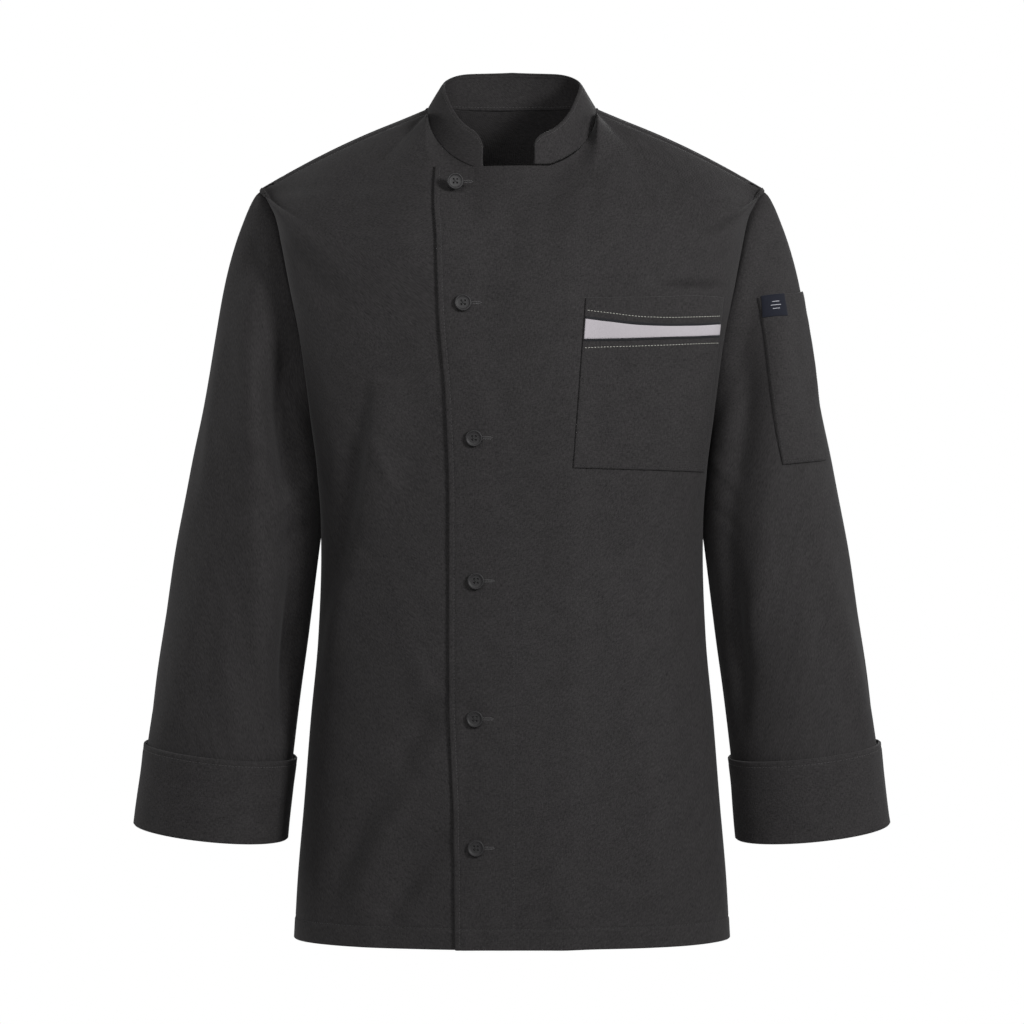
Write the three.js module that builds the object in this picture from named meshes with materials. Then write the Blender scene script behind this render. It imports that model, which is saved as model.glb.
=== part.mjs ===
// A long-sleeved chef jacket, filled out as if worn, with nobody in it.
// Millimetres, +Z up. The front faces -Y and the wearer's left is +X.
// The origin lies midway between the two points where neck and shoulder meet.
import * as THREE from 'three';
import { mergeVertices } from 'three/addons/utils/BufferGeometryUtils.js';

// Cloth and seams
const WALL = 1.6;
const SEAM_GAP = 0.35;
const SHOULDER_GAP = 0.7;
const PATCH_GAP = 0.7;
const SLEEVE_GAP = 1.3;
const LAYER_LIFT = 3.6;

// Neck opening, seen from above: two half ellipses joined by a short straight
const NECK_HALF = 79.5;
const NECK_FRONT = 72;
const NECK_BACK = 46;
const RIDGE_Y = 12;
const NECK_FRONT_Z = -62.5;
const NECK_BACK_Z = 6.5;
const NECK_SIDE_Z = -3.5;
const NECK_RIDGE_Z = 2.5;
const NECK_STRAIGHT = 0.12;
const NECK_CURVE = 1.2;

// Shoulders, armholes and hem
const TIP_X = 236.5;
const HEM_Z = -778;
const UNDERARM_Z = -290;
const TIP_Z = -75;
const ARM_FRONT = 46;
const ARM_BACK = 50;
const ARM_CURVE = 1.3;
const ARM_OUT = 0.75;
const ARM_TURN = 0.8;
const SEAM_OUT_NECK = { x: 0.42, z: 0.91 };
const SEAM_OUT_TIP = { x: 0.68, z: 0.73 };
const SIDE_SETTLE = 0.12;

// How the body swells out below the shoulders
const CHEST_POWER = 2.35;
const FRONT_EASE = 120;
const BACK_EASE = 105;
const TIP_EASE = 45;
const EASE_FROM = 120;
const EASE_RUN = 100;
const FRONT_SWELL = 2;
const BACK_SWELL = 2.4;
const NECK_SPREAD = 1.2;
const SOFTEN = 60;
const EDGE_ROLL = 1.25;
const ROLL_FROM = 45;
const FOLD_END = 0.55;
const FOLD_MARGIN = 12;
const FOLD_PER_DEGREE = 1.15;

// Overlap of the two fronts
const UNDER_EDGE_X = 40;
const LIFT_FROM = 48;
const LIFT_RUN = 32;

// Collar band
const COLLAR_HALF_TOP = 66;
const COLLAR_FRONT_TOP = 66;
const COLLAR_BACK_TOP = 38;
const COLLAR_END_RIGHT = -27.8;
const COLLAR_END_LEFT = 21.2;
const COLLAR_CORNER = 13;
const COLLAR_HEIGHT = 34;
const COLLAR_WALL = 2;
const COLLAR_RUN = 400;
const COLLAR_LIFT_Z = 0.8;
const COLLAR_LIFT_Y = 0.6;
const NECK_CLEAR = 0.85;
const NECK_STEP = 0.9;
const NECK_STEP_AT = 94;
const NECK_STEP_RUN = 6;

// Sleeves and turned-back cuffs
const CUFF_WALL = 2.2;
const CUFF_CLEAR = 0.5;
const CUFF_FLARE = 0.8;
const CUFF_FLARE_RUN = 0.4;
const CUFF_FADE = 34;
const CUFF_TOP = -605;
const CUFF_FOOT = -679.8;
const SLEEVE_FOOT = -678;
const CUFF_DIP = 4.5;
const DIP_FROM = -420;
const DIP_RUN = 160;
const SLEEVE_TILT = 0.105;
const CAP_FADE = 0.3;
const SECTION_STEP = 10;

// Pockets, strips, label and buttons
const PATCH_WALL = 1.2;
const POCKET_STAND = 1.4;
const POCKET_TURN_X = 110;
const POCKET_TURN_RUN = 50;
const STRIP_WALL = 1;
const LABEL_UNDER = 3.3;
const BUTTON_SIDES = 16;
const BUTTON_SPAN = 4;

// Grid sizes
const SHOULDER_ROWS = 6;
const ARMHOLE_ROWS = 11;
const SIDE_ROWS = 13;
const FRONT_COLUMNS = 13;
const BACK_COLUMNS = 22;
const ROLL_COLUMNS = 2;
const CAP_RINGS = 8;
const ARM_RINGS = 13;
const CUFF_RINGS = 4;
const COLLAR_COLUMNS = 46;
const COLLAR_ROWS = 3;
const SHOULDER_BUNCH = 1.5;
const SIDE_BUNCH = 1.15;
const WELD = 1e-3;

const cloth = new THREE.MeshStandardMaterial({ color: 0x383636, roughness: 0.85, metalness: 0 });
const pale = new THREE.MeshStandardMaterial({ color: 0xb9b2b9, roughness: 0.8, metalness: 0 });
const dark = new THREE.MeshStandardMaterial({ color: 0x202024, roughness: 0.8, metalness: 0 });
const plastic = new THREE.MeshStandardMaterial({ color: 0x2b2a2b, roughness: 0.45, metalness: 0 });

// Heights of the shoulder: the seam, and the ridge just behind it
const shoulderLine = [
  { x: 79.5, seam: -3.5, ridge: 2.3 },
  { x: 106.8, seam: -12.8, ridge: -9.5 },
  { x: 134.2, seam: -24, ridge: -20.8 },
  { x: 159.7, seam: -35.2, ridge: -32.1 },
  { x: 183.3, seam: -46.6, ridge: -43.5 },
  { x: 205, seam: -57.8, ridge: -54.8 },
  { x: 225.9, seam: -69.2, ridge: -66.2 },
  { x: 236.5, seam: -75, ridge: -72.4 },
];

// The same line as it carries on below the seam, with the corner at the neck smoothed away
const softShoulder = [
  { x: 0, front: -62.5, back: 4 },
  { x: 35, front: -50, back: 2.5 },
  { x: 65, front: -33, back: -2 },
  { x: 95, front: -24, back: -9 },
  { x: 125, front: -26, back: -18.5 },
  { x: 155, front: -36, back: -30.5 },
  { x: 190, front: -51, back: -47 },
  { x: 236.5, front: -75, back: -72.4 },
];

// The neck seam by its angle from centre front
const neckLine = [
  { angle: 0, z: -62.5 },
  { angle: 24.4, z: -61.6 },
  { angle: 32.4, z: -57.8 },
  { angle: 46, z: -48.2 },
  { angle: 62, z: -33 },
  { angle: 75, z: -18.5 },
  { angle: 83, z: -9.2 },
  { angle: 90, z: -3.5 },
];

// Horizontal sections of the body from the shoulders to the hem.
// half: widest half width; front, back: depths at the centre;
// frontSide, backSide: depth where the width is greatest; inset: hollow of the side seam
const sections = [
  { z: 10, half: 268, front: 96, back: 88, frontSide: 6, backSide: 10, inset: 0 },
  { z: -62, half: 243, front: 103, back: 104, frontSide: 8, backSide: 14, inset: 0 },
  { z: -75, half: 237, front: 105, back: 107, frontSide: 9, backSide: 16, inset: 0.2 },
  { z: -89, half: 229, front: 108, back: 110, frontSide: 30, backSide: 32, inset: 1.2 },
  { z: -106, half: 220.5, front: 111, back: 113, frontSide: 42, backSide: 46, inset: 2.2 },
  { z: -130, half: 214.5, front: 115, back: 116, frontSide: 51, backSide: 55, inset: 3.5 },
  { z: -170, half: 206.5, front: 119, back: 119, frontSide: 57, backSide: 61, inset: 5 },
  { z: -220, half: 196.5, front: 122, back: 119, frontSide: 59, backSide: 62, inset: 8 },
  { z: -260, half: 191, front: 122, back: 116, frontSide: 57, backSide: 60, inset: 12 },
  { z: -294, half: 187, front: 121, back: 112, frontSide: 52, backSide: 54, inset: 14 },
  { z: -340, half: 181.5, front: 118, back: 106, frontSide: 44, backSide: 44, inset: 10 },
  { z: -390, half: 178.8, front: 115, back: 101, frontSide: 28, backSide: 26, inset: 3.5 },
  { z: -430, half: 179.2, front: 113, back: 98, frontSide: 16, backSide: 14, inset: 0.8 },
  { z: -498, half: 182, front: 112, back: 98, frontSide: 14, backSide: 14, inset: 0.6 },
  { z: -574, half: 189, front: 113, back: 102, frontSide: 14, backSide: 14, inset: 0.6 },
  { z: -650, half: 195, front: 115, back: 107, frontSide: 14, backSide: 14, inset: 0.6 },
  { z: -725, half: 201.4, front: 114, back: 110, frontSide: 14, backSide: 14, inset: 0.6 },
  { z: -779, half: 204.4, front: 112, back: 111, frontSide: 14, backSide: 14, inset: 0.6 },
];

// Where each row of the panels crosses centre front and centre back
const rowCentres = [
  { v: 0, front: -62.5, back: 6.5 },
  { v: 0.5, front: -100, back: -22 },
  { v: 1, front: -148, back: -70 },
  { v: 1.5, front: -215, back: -170 },
  { v: 2, front: -294, back: -288 },
  { v: 3, front: -778, back: -778 },
];

// Free edge of the front that lies on top, on the wearer's right of the centre
const placketEdge = [
  { z: -60, x: -71.2 },
  { z: -95, x: -71.1 },
  { z: -130, x: -68.5 },
  { z: -205, x: -65.4 },
  { z: -280, x: -59.1 },
  { z: -370, x: -56.4 },
  { z: -515, x: -56.3 },
  { z: -605, x: -54.5 },
  { z: -686, x: -51.8 },
  { z: -779, x: -50.9 },
];

// Top edge of the collar by its angle from centre front
const collarTop = [
  { angle: 0, z: -31 },
  { angle: 22, z: -30.5 },
  { angle: 34, z: -26 },
  { angle: 46, z: -17 },
  { angle: 57, z: -6 },
  { angle: 70, z: 9 },
  { angle: 90, z: 24 },
  { angle: 110, z: 32 },
  { angle: 140, z: 38.5 },
  { angle: 180, z: 41 },
];

// Sections across the sleeve below the underarm, from the outer edge to the inner edge
const sleeveSections = [
  { z: -310, outer: 296, inner: 175.5, front: 64, back: 62 },
  { z: -345, outer: 303, inner: 175, front: 64, back: 60 },
  { z: -406, outer: 314.3, inner: 181.7, front: 62, back: 56 },
  { z: -463, outer: 323, inner: 189.3, front: 61, back: 52 },
  { z: -520, outer: 331.6, inner: 196.8, front: 60, back: 48 },
  { z: -560, outer: 337.4, inner: 201.5, front: 60, back: 46 },
  { z: -606, outer: 344.2, inner: 207, front: 60, back: 44 },
  { z: -650, outer: 350.4, inner: 211, front: 60, back: 44 },
  { z: -684, outer: 355.2, inner: 214, front: 60, back: 44 },
];

// How the sleeve leaves the armhole, from the shoulder (0) to the underarm (180)
const sleeveStart = [
  { angle: 0, out: 0.62, forward: 0, down: 0.78, reach: 0.6 },
  { angle: 45, out: 0.78, forward: 0.2, down: 0.6, reach: 0.7 },
  { angle: 90, out: 0.85, forward: 0.2, down: 0.5, reach: 0.8 },
  { angle: 140, out: 0.6, forward: 0.1, down: 0.8, reach: 0.8 },
  { angle: 180, out: 0.12, forward: 0, down: 0.99, reach: 0.7 },
];

// Large soft folds of the fronts: a line from (x, z) to (toX, toZ), its width and rise.
// A negative rise is a trough.
const frontFolds = [
  { x: -124, z: -265, toX: -150, toZ: -430, width: 15, rise: 3.5 },
  { x: -150, z: -430, toX: -172, toZ: -505, width: 14, rise: 3 },
  { x: -62, z: -545, toX: -100, toZ: -620, width: 17, rise: -3 },
  { x: -100, z: -620, toX: -160, toZ: -745, width: 16, rise: -3.5 },
  { x: -78, z: -610, toX: -150, toZ: -740, width: 14, rise: 2.5 },
  { x: -55, z: -668, toX: -118, toZ: -765, width: 15, rise: -3 },
  { x: -196, z: -150, toX: -155, toZ: -190, width: 15, rise: -2.5 },
  { x: 95, z: -380, toX: 92, toZ: -440, width: 26, rise: -2.2 },
  { x: 166, z: -480, toX: 180, toZ: -740, width: 15, rise: -3.5 },
  { x: 120, z: -560, toX: 132, toZ: -760, width: 20, rise: 2.5 },
];

// Large soft folds of the back
const backFolds = [
  { x: -120, z: -300, toX: -60, toZ: -420, width: 20, rise: -3.5 },
  { x: 128, z: -290, toX: 70, toZ: -430, width: 21, rise: -3.5 },
  { x: -150, z: -420, toX: -120, toZ: -640, width: 22, rise: 3.5 },
  { x: 148, z: -430, toX: 125, toZ: -660, width: 22, rise: 3.5 },
  { x: -40, z: -500, toX: -55, toZ: -770, width: 24, rise: -3.5 },
  { x: 48, z: -520, toX: 62, toZ: -770, width: 24, rise: -3.5 },
  { x: 4, z: -420, toX: 2, toZ: -770, width: 24, rise: 3 },
];

// Large soft folds of a sleeve: a line from (angle, z) to (toAngle, toZ)
const sleeveFolds = [
  { angle: 62, z: -170, toAngle: 100, toZ: -400, width: 17, rise: 4 },
  { angle: 100, z: -400, toAngle: 128, toZ: -500, width: 15, rise: 3.5 },
  { angle: 92, z: -205, toAngle: 132, toZ: -410, width: 14, rise: -5 },
  { angle: 132, z: -410, toAngle: 148, toZ: -590, width: 14, rise: -4 },
  { angle: 52, z: -400, toAngle: 30, toZ: -590, width: 17, rise: 3 },
  { angle: 240, z: -330, toAngle: 290, toZ: -400, width: 18, rise: -4 },
  { angle: 230, z: -420, toAngle: 300, toZ: -470, width: 17, rise: -3.5 },
  { angle: 250, z: -480, toAngle: 290, toZ: -590, width: 18, rise: 3.5 },
];

// Half outline of a button, from the middle of its back round to the middle of its face
const buttonProfile = [
  { radius: 0, height: 0 },
  { radius: 6.2, height: 0 },
  { radius: 7.7, height: 1.1 },
  { radius: 7.6, height: 2.4 },
  { radius: 6.7, height: 3 },
  { radius: 5.4, height: 2.3 },
  { radius: 0, height: 2.1 },
];

// Centres of the buttons on the top front, and how far each back stands off it
const buttonPlaces = [
  { x: -52.5, z: -76.9, gap: 0.8 },
  { x: -44.5, z: -190.3, gap: 0.7 },
  { x: -34.5, z: -312.9, gap: 0.6 },
  { x: -32.7, z: -442.7, gap: 0.6 },
  { x: -33.6, z: -568, gap: 0.4 },
  { x: -32.6, z: -685.3, gap: 0.3 },
];

// Chest pocket: corners in (x, z) at the upper left and right, then the lower
const pocketCorners = [[67, -185.8], [193, -183.2], [55.7, -339.6], [176.8, -342.6]];

// Strips across the pocket, as shares of its height at its left and right edges
const insertPlace = { leftTop: 0.131, leftFoot: 0.246, rightTop: 0.158, rightFoot: 0.212 };
const upperPipingPlace = { leftTop: 0.112, leftFoot: 0.129, rightTop: 0.139, rightFoot: 0.156 };
const lowerPipingPlace = { leftTop: 0.248, leftFoot: 0.272, rightTop: 0.214, rightFoot: 0.238 };

// Corners on the left sleeve as (angle, z): upper front, upper rear, lower front, lower rear
const sleevePocketCorners = [[74, -181.3], [10, -172.8], [80, -336], [30, -331.2]];
const sleeveLabelCorners = [[71.5, -180.5], [50, -177.8], [76.8, -200.3], [54, -198.5]];
const SLEEVE_HALVINGS = 24;

const radians = (degrees) => (degrees * Math.PI) / 180;
const mix = (from, to, share) => from + (to - from) * share;
const clamp = (value, low, high) => Math.min(high, Math.max(low, value));
const smooth = (value) => clamp(value, 0, 1) ** 2 * (3 - 2 * clamp(value, 0, 1));

// Smooth reading of a table without overshoot: cubic pieces whose slope at a row is the
// harmonic mean of its neighbours, or zero at a turning point
function read(table, key, column, at) {
  const rising = table[table.length - 1][key] > table[0][key];
  const rows = rising ? table : [...table].reverse();
  const last = rows.length - 1;
  const place = clamp(at, rows[0][key], rows[last][key]);
  let i = 0;
  while (i < last - 1 && rows[i + 1][key] < place) i += 1;
  const step = (k) => (rows[k + 1][column] - rows[k][column]) / (rows[k + 1][key] - rows[k][key]);
  const slope = (k) => {
    if (k === 0) return step(0);
    if (k === last) return step(last - 1);
    const before = step(k - 1);
    const after = step(k);
    return before * after > 0 ? (2 * before * after) / (before + after) : 0;
  };
  const width = rows[i + 1][key] - rows[i][key];
  const s = (place - rows[i][key]) / width;
  return (
    (2 * s ** 3 - 3 * s ** 2 + 1) * rows[i][column] +
    (s ** 3 - 2 * s ** 2 + s) * width * slope(i) +
    (3 * s ** 2 - 2 * s ** 3) * rows[i + 1][column] +
    (s ** 3 - s ** 2) * width * slope(i + 1)
  );
}

// Sum of soft folds at a point: a bell across each line, fading out past its ends
function foldRise(folds, x, z, xKey = 'x', xScale = 1) {
  const toKey = xKey === 'x' ? 'toX' : 'toAngle';
  let rise = 0;
  for (const fold of folds) {
    const runX = (fold[toKey] - fold[xKey]) * xScale;
    const runZ = fold.toZ - fold.z;
    const offX = (x - fold[xKey]) * xScale;
    const offZ = z - fold.z;
    const length2 = runX ** 2 + runZ ** 2;
    const along = clamp((offX * runX + offZ * runZ) / length2, 0, 1);
    const away2 = (offX - along * runX) ** 2 + (offZ - along * runZ) ** 2;
    const fade = FOLD_END + (1 - FOLD_END) * Math.sin(Math.PI * along);
    rise += fold.rise * fade * Math.exp(-away2 / fold.width ** 2);
  }
  return rise;
}

// Section of the body: 1 at the centre, 0 where it is widest
const roundness = (share) => Math.max(0, 1 - Math.abs(share) ** CHEST_POWER) ** (1 / CHEST_POWER);

// How far the neck's round shape still shows in the panel: the neck opening's half ellipse
// at the seam, wider and softer the further below it
function neckBulge(x, below) {
  const reach = Math.abs(x) / (NECK_HALF + NECK_SPREAD * below);
  return Math.max(0, 1 - reach ** 2) ** (0.5 + below / SOFTEN);
}

// Depth of the front at (x, z): from the neck and shoulder seams it swells out to the chest.
// hand is 1 on the wearer's left and -1 on the right, where only the folds differ.
function frontDepth(x, z, hand = 1) {
  const across = Math.min(Math.abs(x) / NECK_HALF, 1);
  const onNeck = Math.abs(x) < NECK_HALF;
  const topZ = onNeck
    ? read(neckLine, 'angle', 'z', (Math.asin(across) * 180) / Math.PI)
    : read(shoulderLine, 'x', 'seam', Math.abs(x));
  const below = Math.max(0, topZ - z);
  const topY = -NECK_FRONT * neckBulge(x, below);
  const fromZ = mix(topZ, read(softShoulder, 'x', 'front', Math.abs(x)), smooth(below / SOFTEN));
  const side = -read(sections, 'z', 'frontSide', z);
  const half = read(sections, 'z', 'half', z);
  const chest = side + (-read(sections, 'z', 'front', z) - side) * roundness(x / half);
  const ease = mix(FRONT_EASE, TIP_EASE, smooth((Math.abs(x) - EASE_FROM) / EASE_RUN));
  const swell = 1 - (1 - clamp((fromZ - z) / ease, 0, 1)) ** FRONT_SWELL;
  const folds = foldRise(frontFolds, hand * x, z) * smooth((half - Math.abs(x)) / FOLD_MARGIN);
  return topY + (chest - topY) * swell - folds;
}

// Depth of the back at (x, z): from the neck and the shoulder ridge out over the blades
function backDepth(x, z, hand = 1) {
  const across = Math.min(Math.abs(x) / NECK_HALF, 1);
  const onNeck = Math.abs(x) < NECK_HALF;
  const topZ = onNeck ? backNeckZ(Math.asin(across)) : read(shoulderLine, 'x', 'ridge', Math.abs(x));
  const below = Math.max(0, topZ - z);
  const topY = RIDGE_Y + NECK_BACK * neckBulge(x, below);
  const fromZ = mix(topZ, read(softShoulder, 'x', 'back', Math.abs(x)), smooth(below / SOFTEN));
  const side = read(sections, 'z', 'backSide', z);
  const half = read(sections, 'z', 'half', z);
  const blade = side + (read(sections, 'z', 'back', z) - side) * roundness(x / half);
  const ease = mix(BACK_EASE, TIP_EASE, smooth((Math.abs(x) - EASE_FROM) / EASE_RUN));
  const swell = 1 - (1 - clamp((fromZ - z) / ease, 0, 1)) ** BACK_SWELL;
  const folds = foldRise(backFolds, hand * x, z) * smooth((half - Math.abs(x)) / FOLD_MARGIN);
  return topY + (blade - topY) * swell + folds;
}

function backNeckZ(angle) {
  return NECK_BACK_Z + (NECK_RIDGE_Z - NECK_BACK_Z) * (1 - Math.cos(angle)) ** NECK_CURVE;
}

// Side border of the panels. v runs 0 to 1 down the shoulder seam, 1 to 2 round the
// armhole and 2 to 3 down the side seam; face is -1 for the front, 1 for the back.
function border(v, face) {
  if (v <= 1) {
    const x = mix(NECK_HALF, TIP_X, v);
    return new THREE.Vector3(x, 0, read(shoulderLine, 'x', 'seam', x));
  }
  if (v <= 2) {
    const turn = Math.PI * (v - 1);
    const z = mix(UNDERARM_Z, TIP_Z, 0.5 + 0.5 * Math.cos(turn));
    const inset = read(sections, 'z', 'inset', z);
    const depth = face < 0 ? ARM_FRONT : ARM_BACK;
    const y = face * depth * Math.sin(turn) ** ARM_CURVE;
    return new THREE.Vector3(read(sections, 'z', 'half', z) - inset, y, z);
  }
  const z = mix(UNDERARM_Z, HEM_Z, v - 2);
  const x = read(sections, 'z', 'half', z) - read(sections, 'z', 'inset', z);
  return new THREE.Vector3(x, 0, z);
}

// Way out of the cloth at the border, shared by both pieces of a seam so that they mitre
function borderNormal(v, face) {
  if (v <= 1) {
    const turned = v ** 4;
    const x = mix(SEAM_OUT_NECK.x, SEAM_OUT_TIP.x, turned);
    return new THREE.Vector3(x, 0, mix(SEAM_OUT_NECK.z, SEAM_OUT_TIP.z, turned));
  }
  if (v <= 2) {
    const turn = Math.PI * (v - 1);
    const out = ARM_OUT * Math.cos(turn / 2);
    const y = face * ARM_TURN * Math.sin(turn);
    return new THREE.Vector3(out, y, ARM_TURN * Math.cos(turn)).normalize();
  }
  const settle = smooth((v - 2) / SIDE_SETTLE);
  return new THREE.Vector3(settle, 0, -(1 - settle)).normalize();
}

// A point of the front, as on the wearer's left. t is the angle across in degrees: 0 at the
// centre, 90 where the panel is widest; roll runs 0 to 1 from there round to the seam.
function frontPoint(t, roll, v, hand) {
  const seam = border(v, -1);
  const sideX = v <= 1 ? seam.x : read(sections, 'z', 'half', seam.z);
  const centreZ = read(rowCentres, 'v', 'front', v);
  const climb = (read(neckLine, 'angle', 'z', t) - NECK_FRONT_Z) / (NECK_SIDE_Z - NECK_FRONT_Z);
  const lift = t > 0 ? climb : 0;
  const z = mix(centreZ, seam.z, lift);
  const x = Math.min(sideX, read(sections, 'z', 'half', z)) * Math.sin(radians(t));
  const turned = smooth((t - ROLL_FROM) / (90 - ROLL_FROM));
  const push = turned * Math.min(0, EDGE_ROLL * seam.y - frontDepth(sideX, seam.z, hand));
  const point = new THREE.Vector3(x, frontDepth(x, z, hand) + push, z);
  if (roll > 0) {
    point.x = mix(sideX, seam.x, Math.sin((roll * Math.PI) / 2));
    point.y = mix(point.y, seam.y, roll);
  }
  return point;
}

// A point of the back, the same way round for both sides
function backPoint(t, roll, v, hand) {
  const seam = border(v, 1);
  const sideX = v <= 1 ? seam.x : read(sections, 'z', 'half', seam.z);
  const sideZ = v <= 1 ? read(shoulderLine, 'x', 'ridge', seam.x) : seam.z;
  const centreZ = read(rowCentres, 'v', 'back', v);
  const z = mix(centreZ, sideZ, (1 - Math.cos(radians(t))) ** NECK_CURVE);
  const x = Math.min(sideX, read(sections, 'z', 'half', z)) * Math.sin(radians(t));
  const turned = smooth((t - ROLL_FROM) / (90 - ROLL_FROM));
  const push = turned * Math.max(0, EDGE_ROLL * seam.y - backDepth(sideX, sideZ, hand));
  const point = new THREE.Vector3(x, backDepth(x, z, hand) + push, z);
  if (roll > 0) {
    point.x = mix(sideX, seam.x, Math.sin((roll * Math.PI) / 2));
    point.y = mix(point.y, seam.y, roll);
    point.z = mix(sideZ, seam.z, roll ** 2);
  }
  return point;
}

// Rows of the panels, closer together round the armhole
function rowPlaces() {
  const rows = [];
  for (let i = 0; i <= SHOULDER_ROWS; i += 1) rows.push((i / SHOULDER_ROWS) ** SHOULDER_BUNCH);
  for (let i = 1; i <= ARMHOLE_ROWS; i += 1) rows.push(1 + i / ARMHOLE_ROWS);
  for (let i = 1; i <= SIDE_ROWS; i += 1) rows.push(2 + (i / SIDE_ROWS) ** SIDE_BUNCH);
  return rows;
}

// Outward unit normals of a grid of points, by differences between neighbours
function gridNormals(grid, closed) {
  const rows = grid.length;
  const columns = grid[0].length;
  return grid.map((row, i) =>
    row.map((point, j) => {
      const up = grid[Math.max(i - 1, 0)][j];
      const down = grid[Math.min(i + 1, rows - 1)][j];
      const left = closed ? row[(j + columns - 1) % columns] : row[Math.max(j - 1, 0)];
      const right = closed ? row[(j + 1) % columns] : row[Math.min(j + 1, columns - 1)];
      const across = new THREE.Vector3().subVectors(right, left);
      const along = new THREE.Vector3().subVectors(down, up);
      return along.cross(across).normalize();
    })
  );
}

// A closed wall between an outer grid of points and an inner one.
// Closed grids join their last column to their first.
function wallMesh(name, outer, inner, material, closed) {
  const rows = outer.length;
  const columns = outer[0].length;
  const positions = [...outer.flat(), ...inner.flat()].flatMap((p) => [p.x, p.y, p.z]);
  const size = rows * columns;
  const at = (i, j, side) => side * size + i * columns + (j % columns);
  const faces = [];
  const quad = (a, b, c, d) => faces.push(a, b, c, a, c, d);
  const spans = closed ? columns : columns - 1;
  for (let i = 0; i < rows - 1; i += 1) {
    for (let j = 0; j < spans; j += 1) {
      quad(at(i, j, 0), at(i + 1, j, 0), at(i + 1, j + 1, 0), at(i, j + 1, 0));
      quad(at(i, j, 1), at(i, j + 1, 1), at(i + 1, j + 1, 1), at(i + 1, j, 1));
    }
    if (!closed) {
      quad(at(i, 0, 0), at(i, 0, 1), at(i + 1, 0, 1), at(i + 1, 0, 0));
      quad(at(i, spans, 0), at(i + 1, spans, 0), at(i + 1, spans, 1), at(i, spans, 1));
    }
  }
  for (let j = 0; j < spans; j += 1) {
    quad(at(0, j, 0), at(0, j + 1, 0), at(0, j + 1, 1), at(0, j, 1));
    quad(at(rows - 1, j, 0), at(rows - 1, j, 1), at(rows - 1, j + 1, 1), at(rows - 1, j + 1, 0));
  }
  const geometry = new THREE.BufferGeometry();
  geometry.setAttribute('position', new THREE.Float32BufferAttribute(positions, 3));
  geometry.setIndex(faces);
  const merged = mergeVertices(geometry, WELD);
  merged.computeVertexNormals();
  const mesh = new THREE.Mesh(merged, material);
  mesh.name = name;
  return mesh;
}

const moved = (point, normal, distance) => point.clone().addScaledVector(normal, distance);
const mirrored = (point) => new THREE.Vector3(-point.x, point.y, point.z);

// Places across a row: t from the first angle to 90 degrees, then the roll to the seam.
// On the shoulder the front has no roll, so its places spread over the whole row.
function acrossPlaces(from, columns, rolled) {
  const places = [];
  const flat = columns - ROLL_COLUMNS * rolled;
  for (let j = 0; j <= columns; j += 1) {
    const t = mix(from, 90, Math.min(j / flat, 1));
    const roll = rolled > 0 ? clamp((j - flat) / (columns - flat), 0, 1) : 0;
    places.push({ t, roll });
  }
  return places;
}

// A front panel, as on the wearer's left, from its free edge to the side; lift moves it out
function frontGrid(edgeX, liftAt, hand) {
  const rows = rowPlaces();
  const grid = rows.map((v) => {
    const seam = border(v, -1);
    const sideX = v <= 1 ? seam.x : read(sections, 'z', 'half', seam.z);
    const centreZ = read(rowCentres, 'v', 'front', v);
    const halfX = Math.min(sideX, read(sections, 'z', 'half', centreZ));
    const from = (-Math.asin(edgeX(centreZ) / halfX) * 180) / Math.PI;
    const rolled = smooth((v - 0.85) / 0.3);
    const places = acrossPlaces(from, FRONT_COLUMNS, rolled);
    return places.map((place) => frontPoint(place.t, place.roll, v, hand));
  });
  const normals = gridNormals(grid, false);
  rows.forEach((v, i) => {
    const last = grid[i].length - 1;
    normals[i][last] = borderNormal(v, -1);
  });
  const outer = grid.map((row, i) => row.map((point, j) => moved(point, normals[i][j], liftAt(point.x))));
  const inner = outer.map((row, i) => row.map((point, j) => moved(point, normals[i][j], -WALL)));
  const shoulder = inner.filter((row, i) => rows[i] <= 1);
  shoulder.flat().forEach((point) => point.setY(Math.min(point.y, 0)));
  return { outer, inner };
}

// The layer on top stands out by a fold of cloth and comes back to the body towards the side
const topLift = (x) => LAYER_LIFT * (1 - smooth((x - LIFT_FROM) / LIFT_RUN));
const topEdge = (z) => -read(placketEdge, 'z', 'x', z);

const group = new THREE.Group();

const leftFront = frontGrid(topEdge, topLift, 1);
group.add(wallMesh('front_left', leftFront.outer, leftFront.inner, cloth, false));

// A grid on the wearer's left taken over to the right, turned so that it still faces out
const mirrorGrid = (grid) => grid.map((row) => row.map(mirrored).reverse());

const rightFront = frontGrid(() => UNDER_EDGE_X, () => 0, -1);
const rightOuter = mirrorGrid(rightFront.outer);
group.add(wallMesh('front_right', rightOuter, mirrorGrid(rightFront.inner), cloth, false));

// The back is one piece. Its seams keep a gap to the fronts.
function backGrid() {
  const rows = rowPlaces();
  const halfColumns = BACK_COLUMNS / 2;
  const places = acrossPlaces(0, halfColumns, 1);
  const half = (hand) => rows.map((v) => places.map((place) => backPoint(place.t, place.roll, v, hand)));
  const right = half(-1);
  const ordered = half(1).map((row, i) => [...row].reverse().concat(right[i].slice(1).map(mirrored)));
  const normals = gridNormals(ordered, false);
  const last = ordered[0].length - 1;
  rows.forEach((v, i) => {
    normals[i][0] = borderNormal(v, 1);
    normals[i][last] = mirrored(borderNormal(v, 1));
  });
  const clear = (point, v) => (v < 1 || v >= 2 ? point.clone().setY(point.y + SHOULDER_GAP) : point);
  const outer = ordered.map((row, i) =>
    row.map((point, j) => (j === 0 || j === last ? clear(point, rows[i]) : point))
  );
  const inner = outer.map((row, i) => row.map((point, j) => moved(point, normals[i][j], -WALL)));
  return { outer, inner };
}

const back = backGrid();
group.add(wallMesh('back', back.outer, back.inner, cloth, false));

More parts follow.
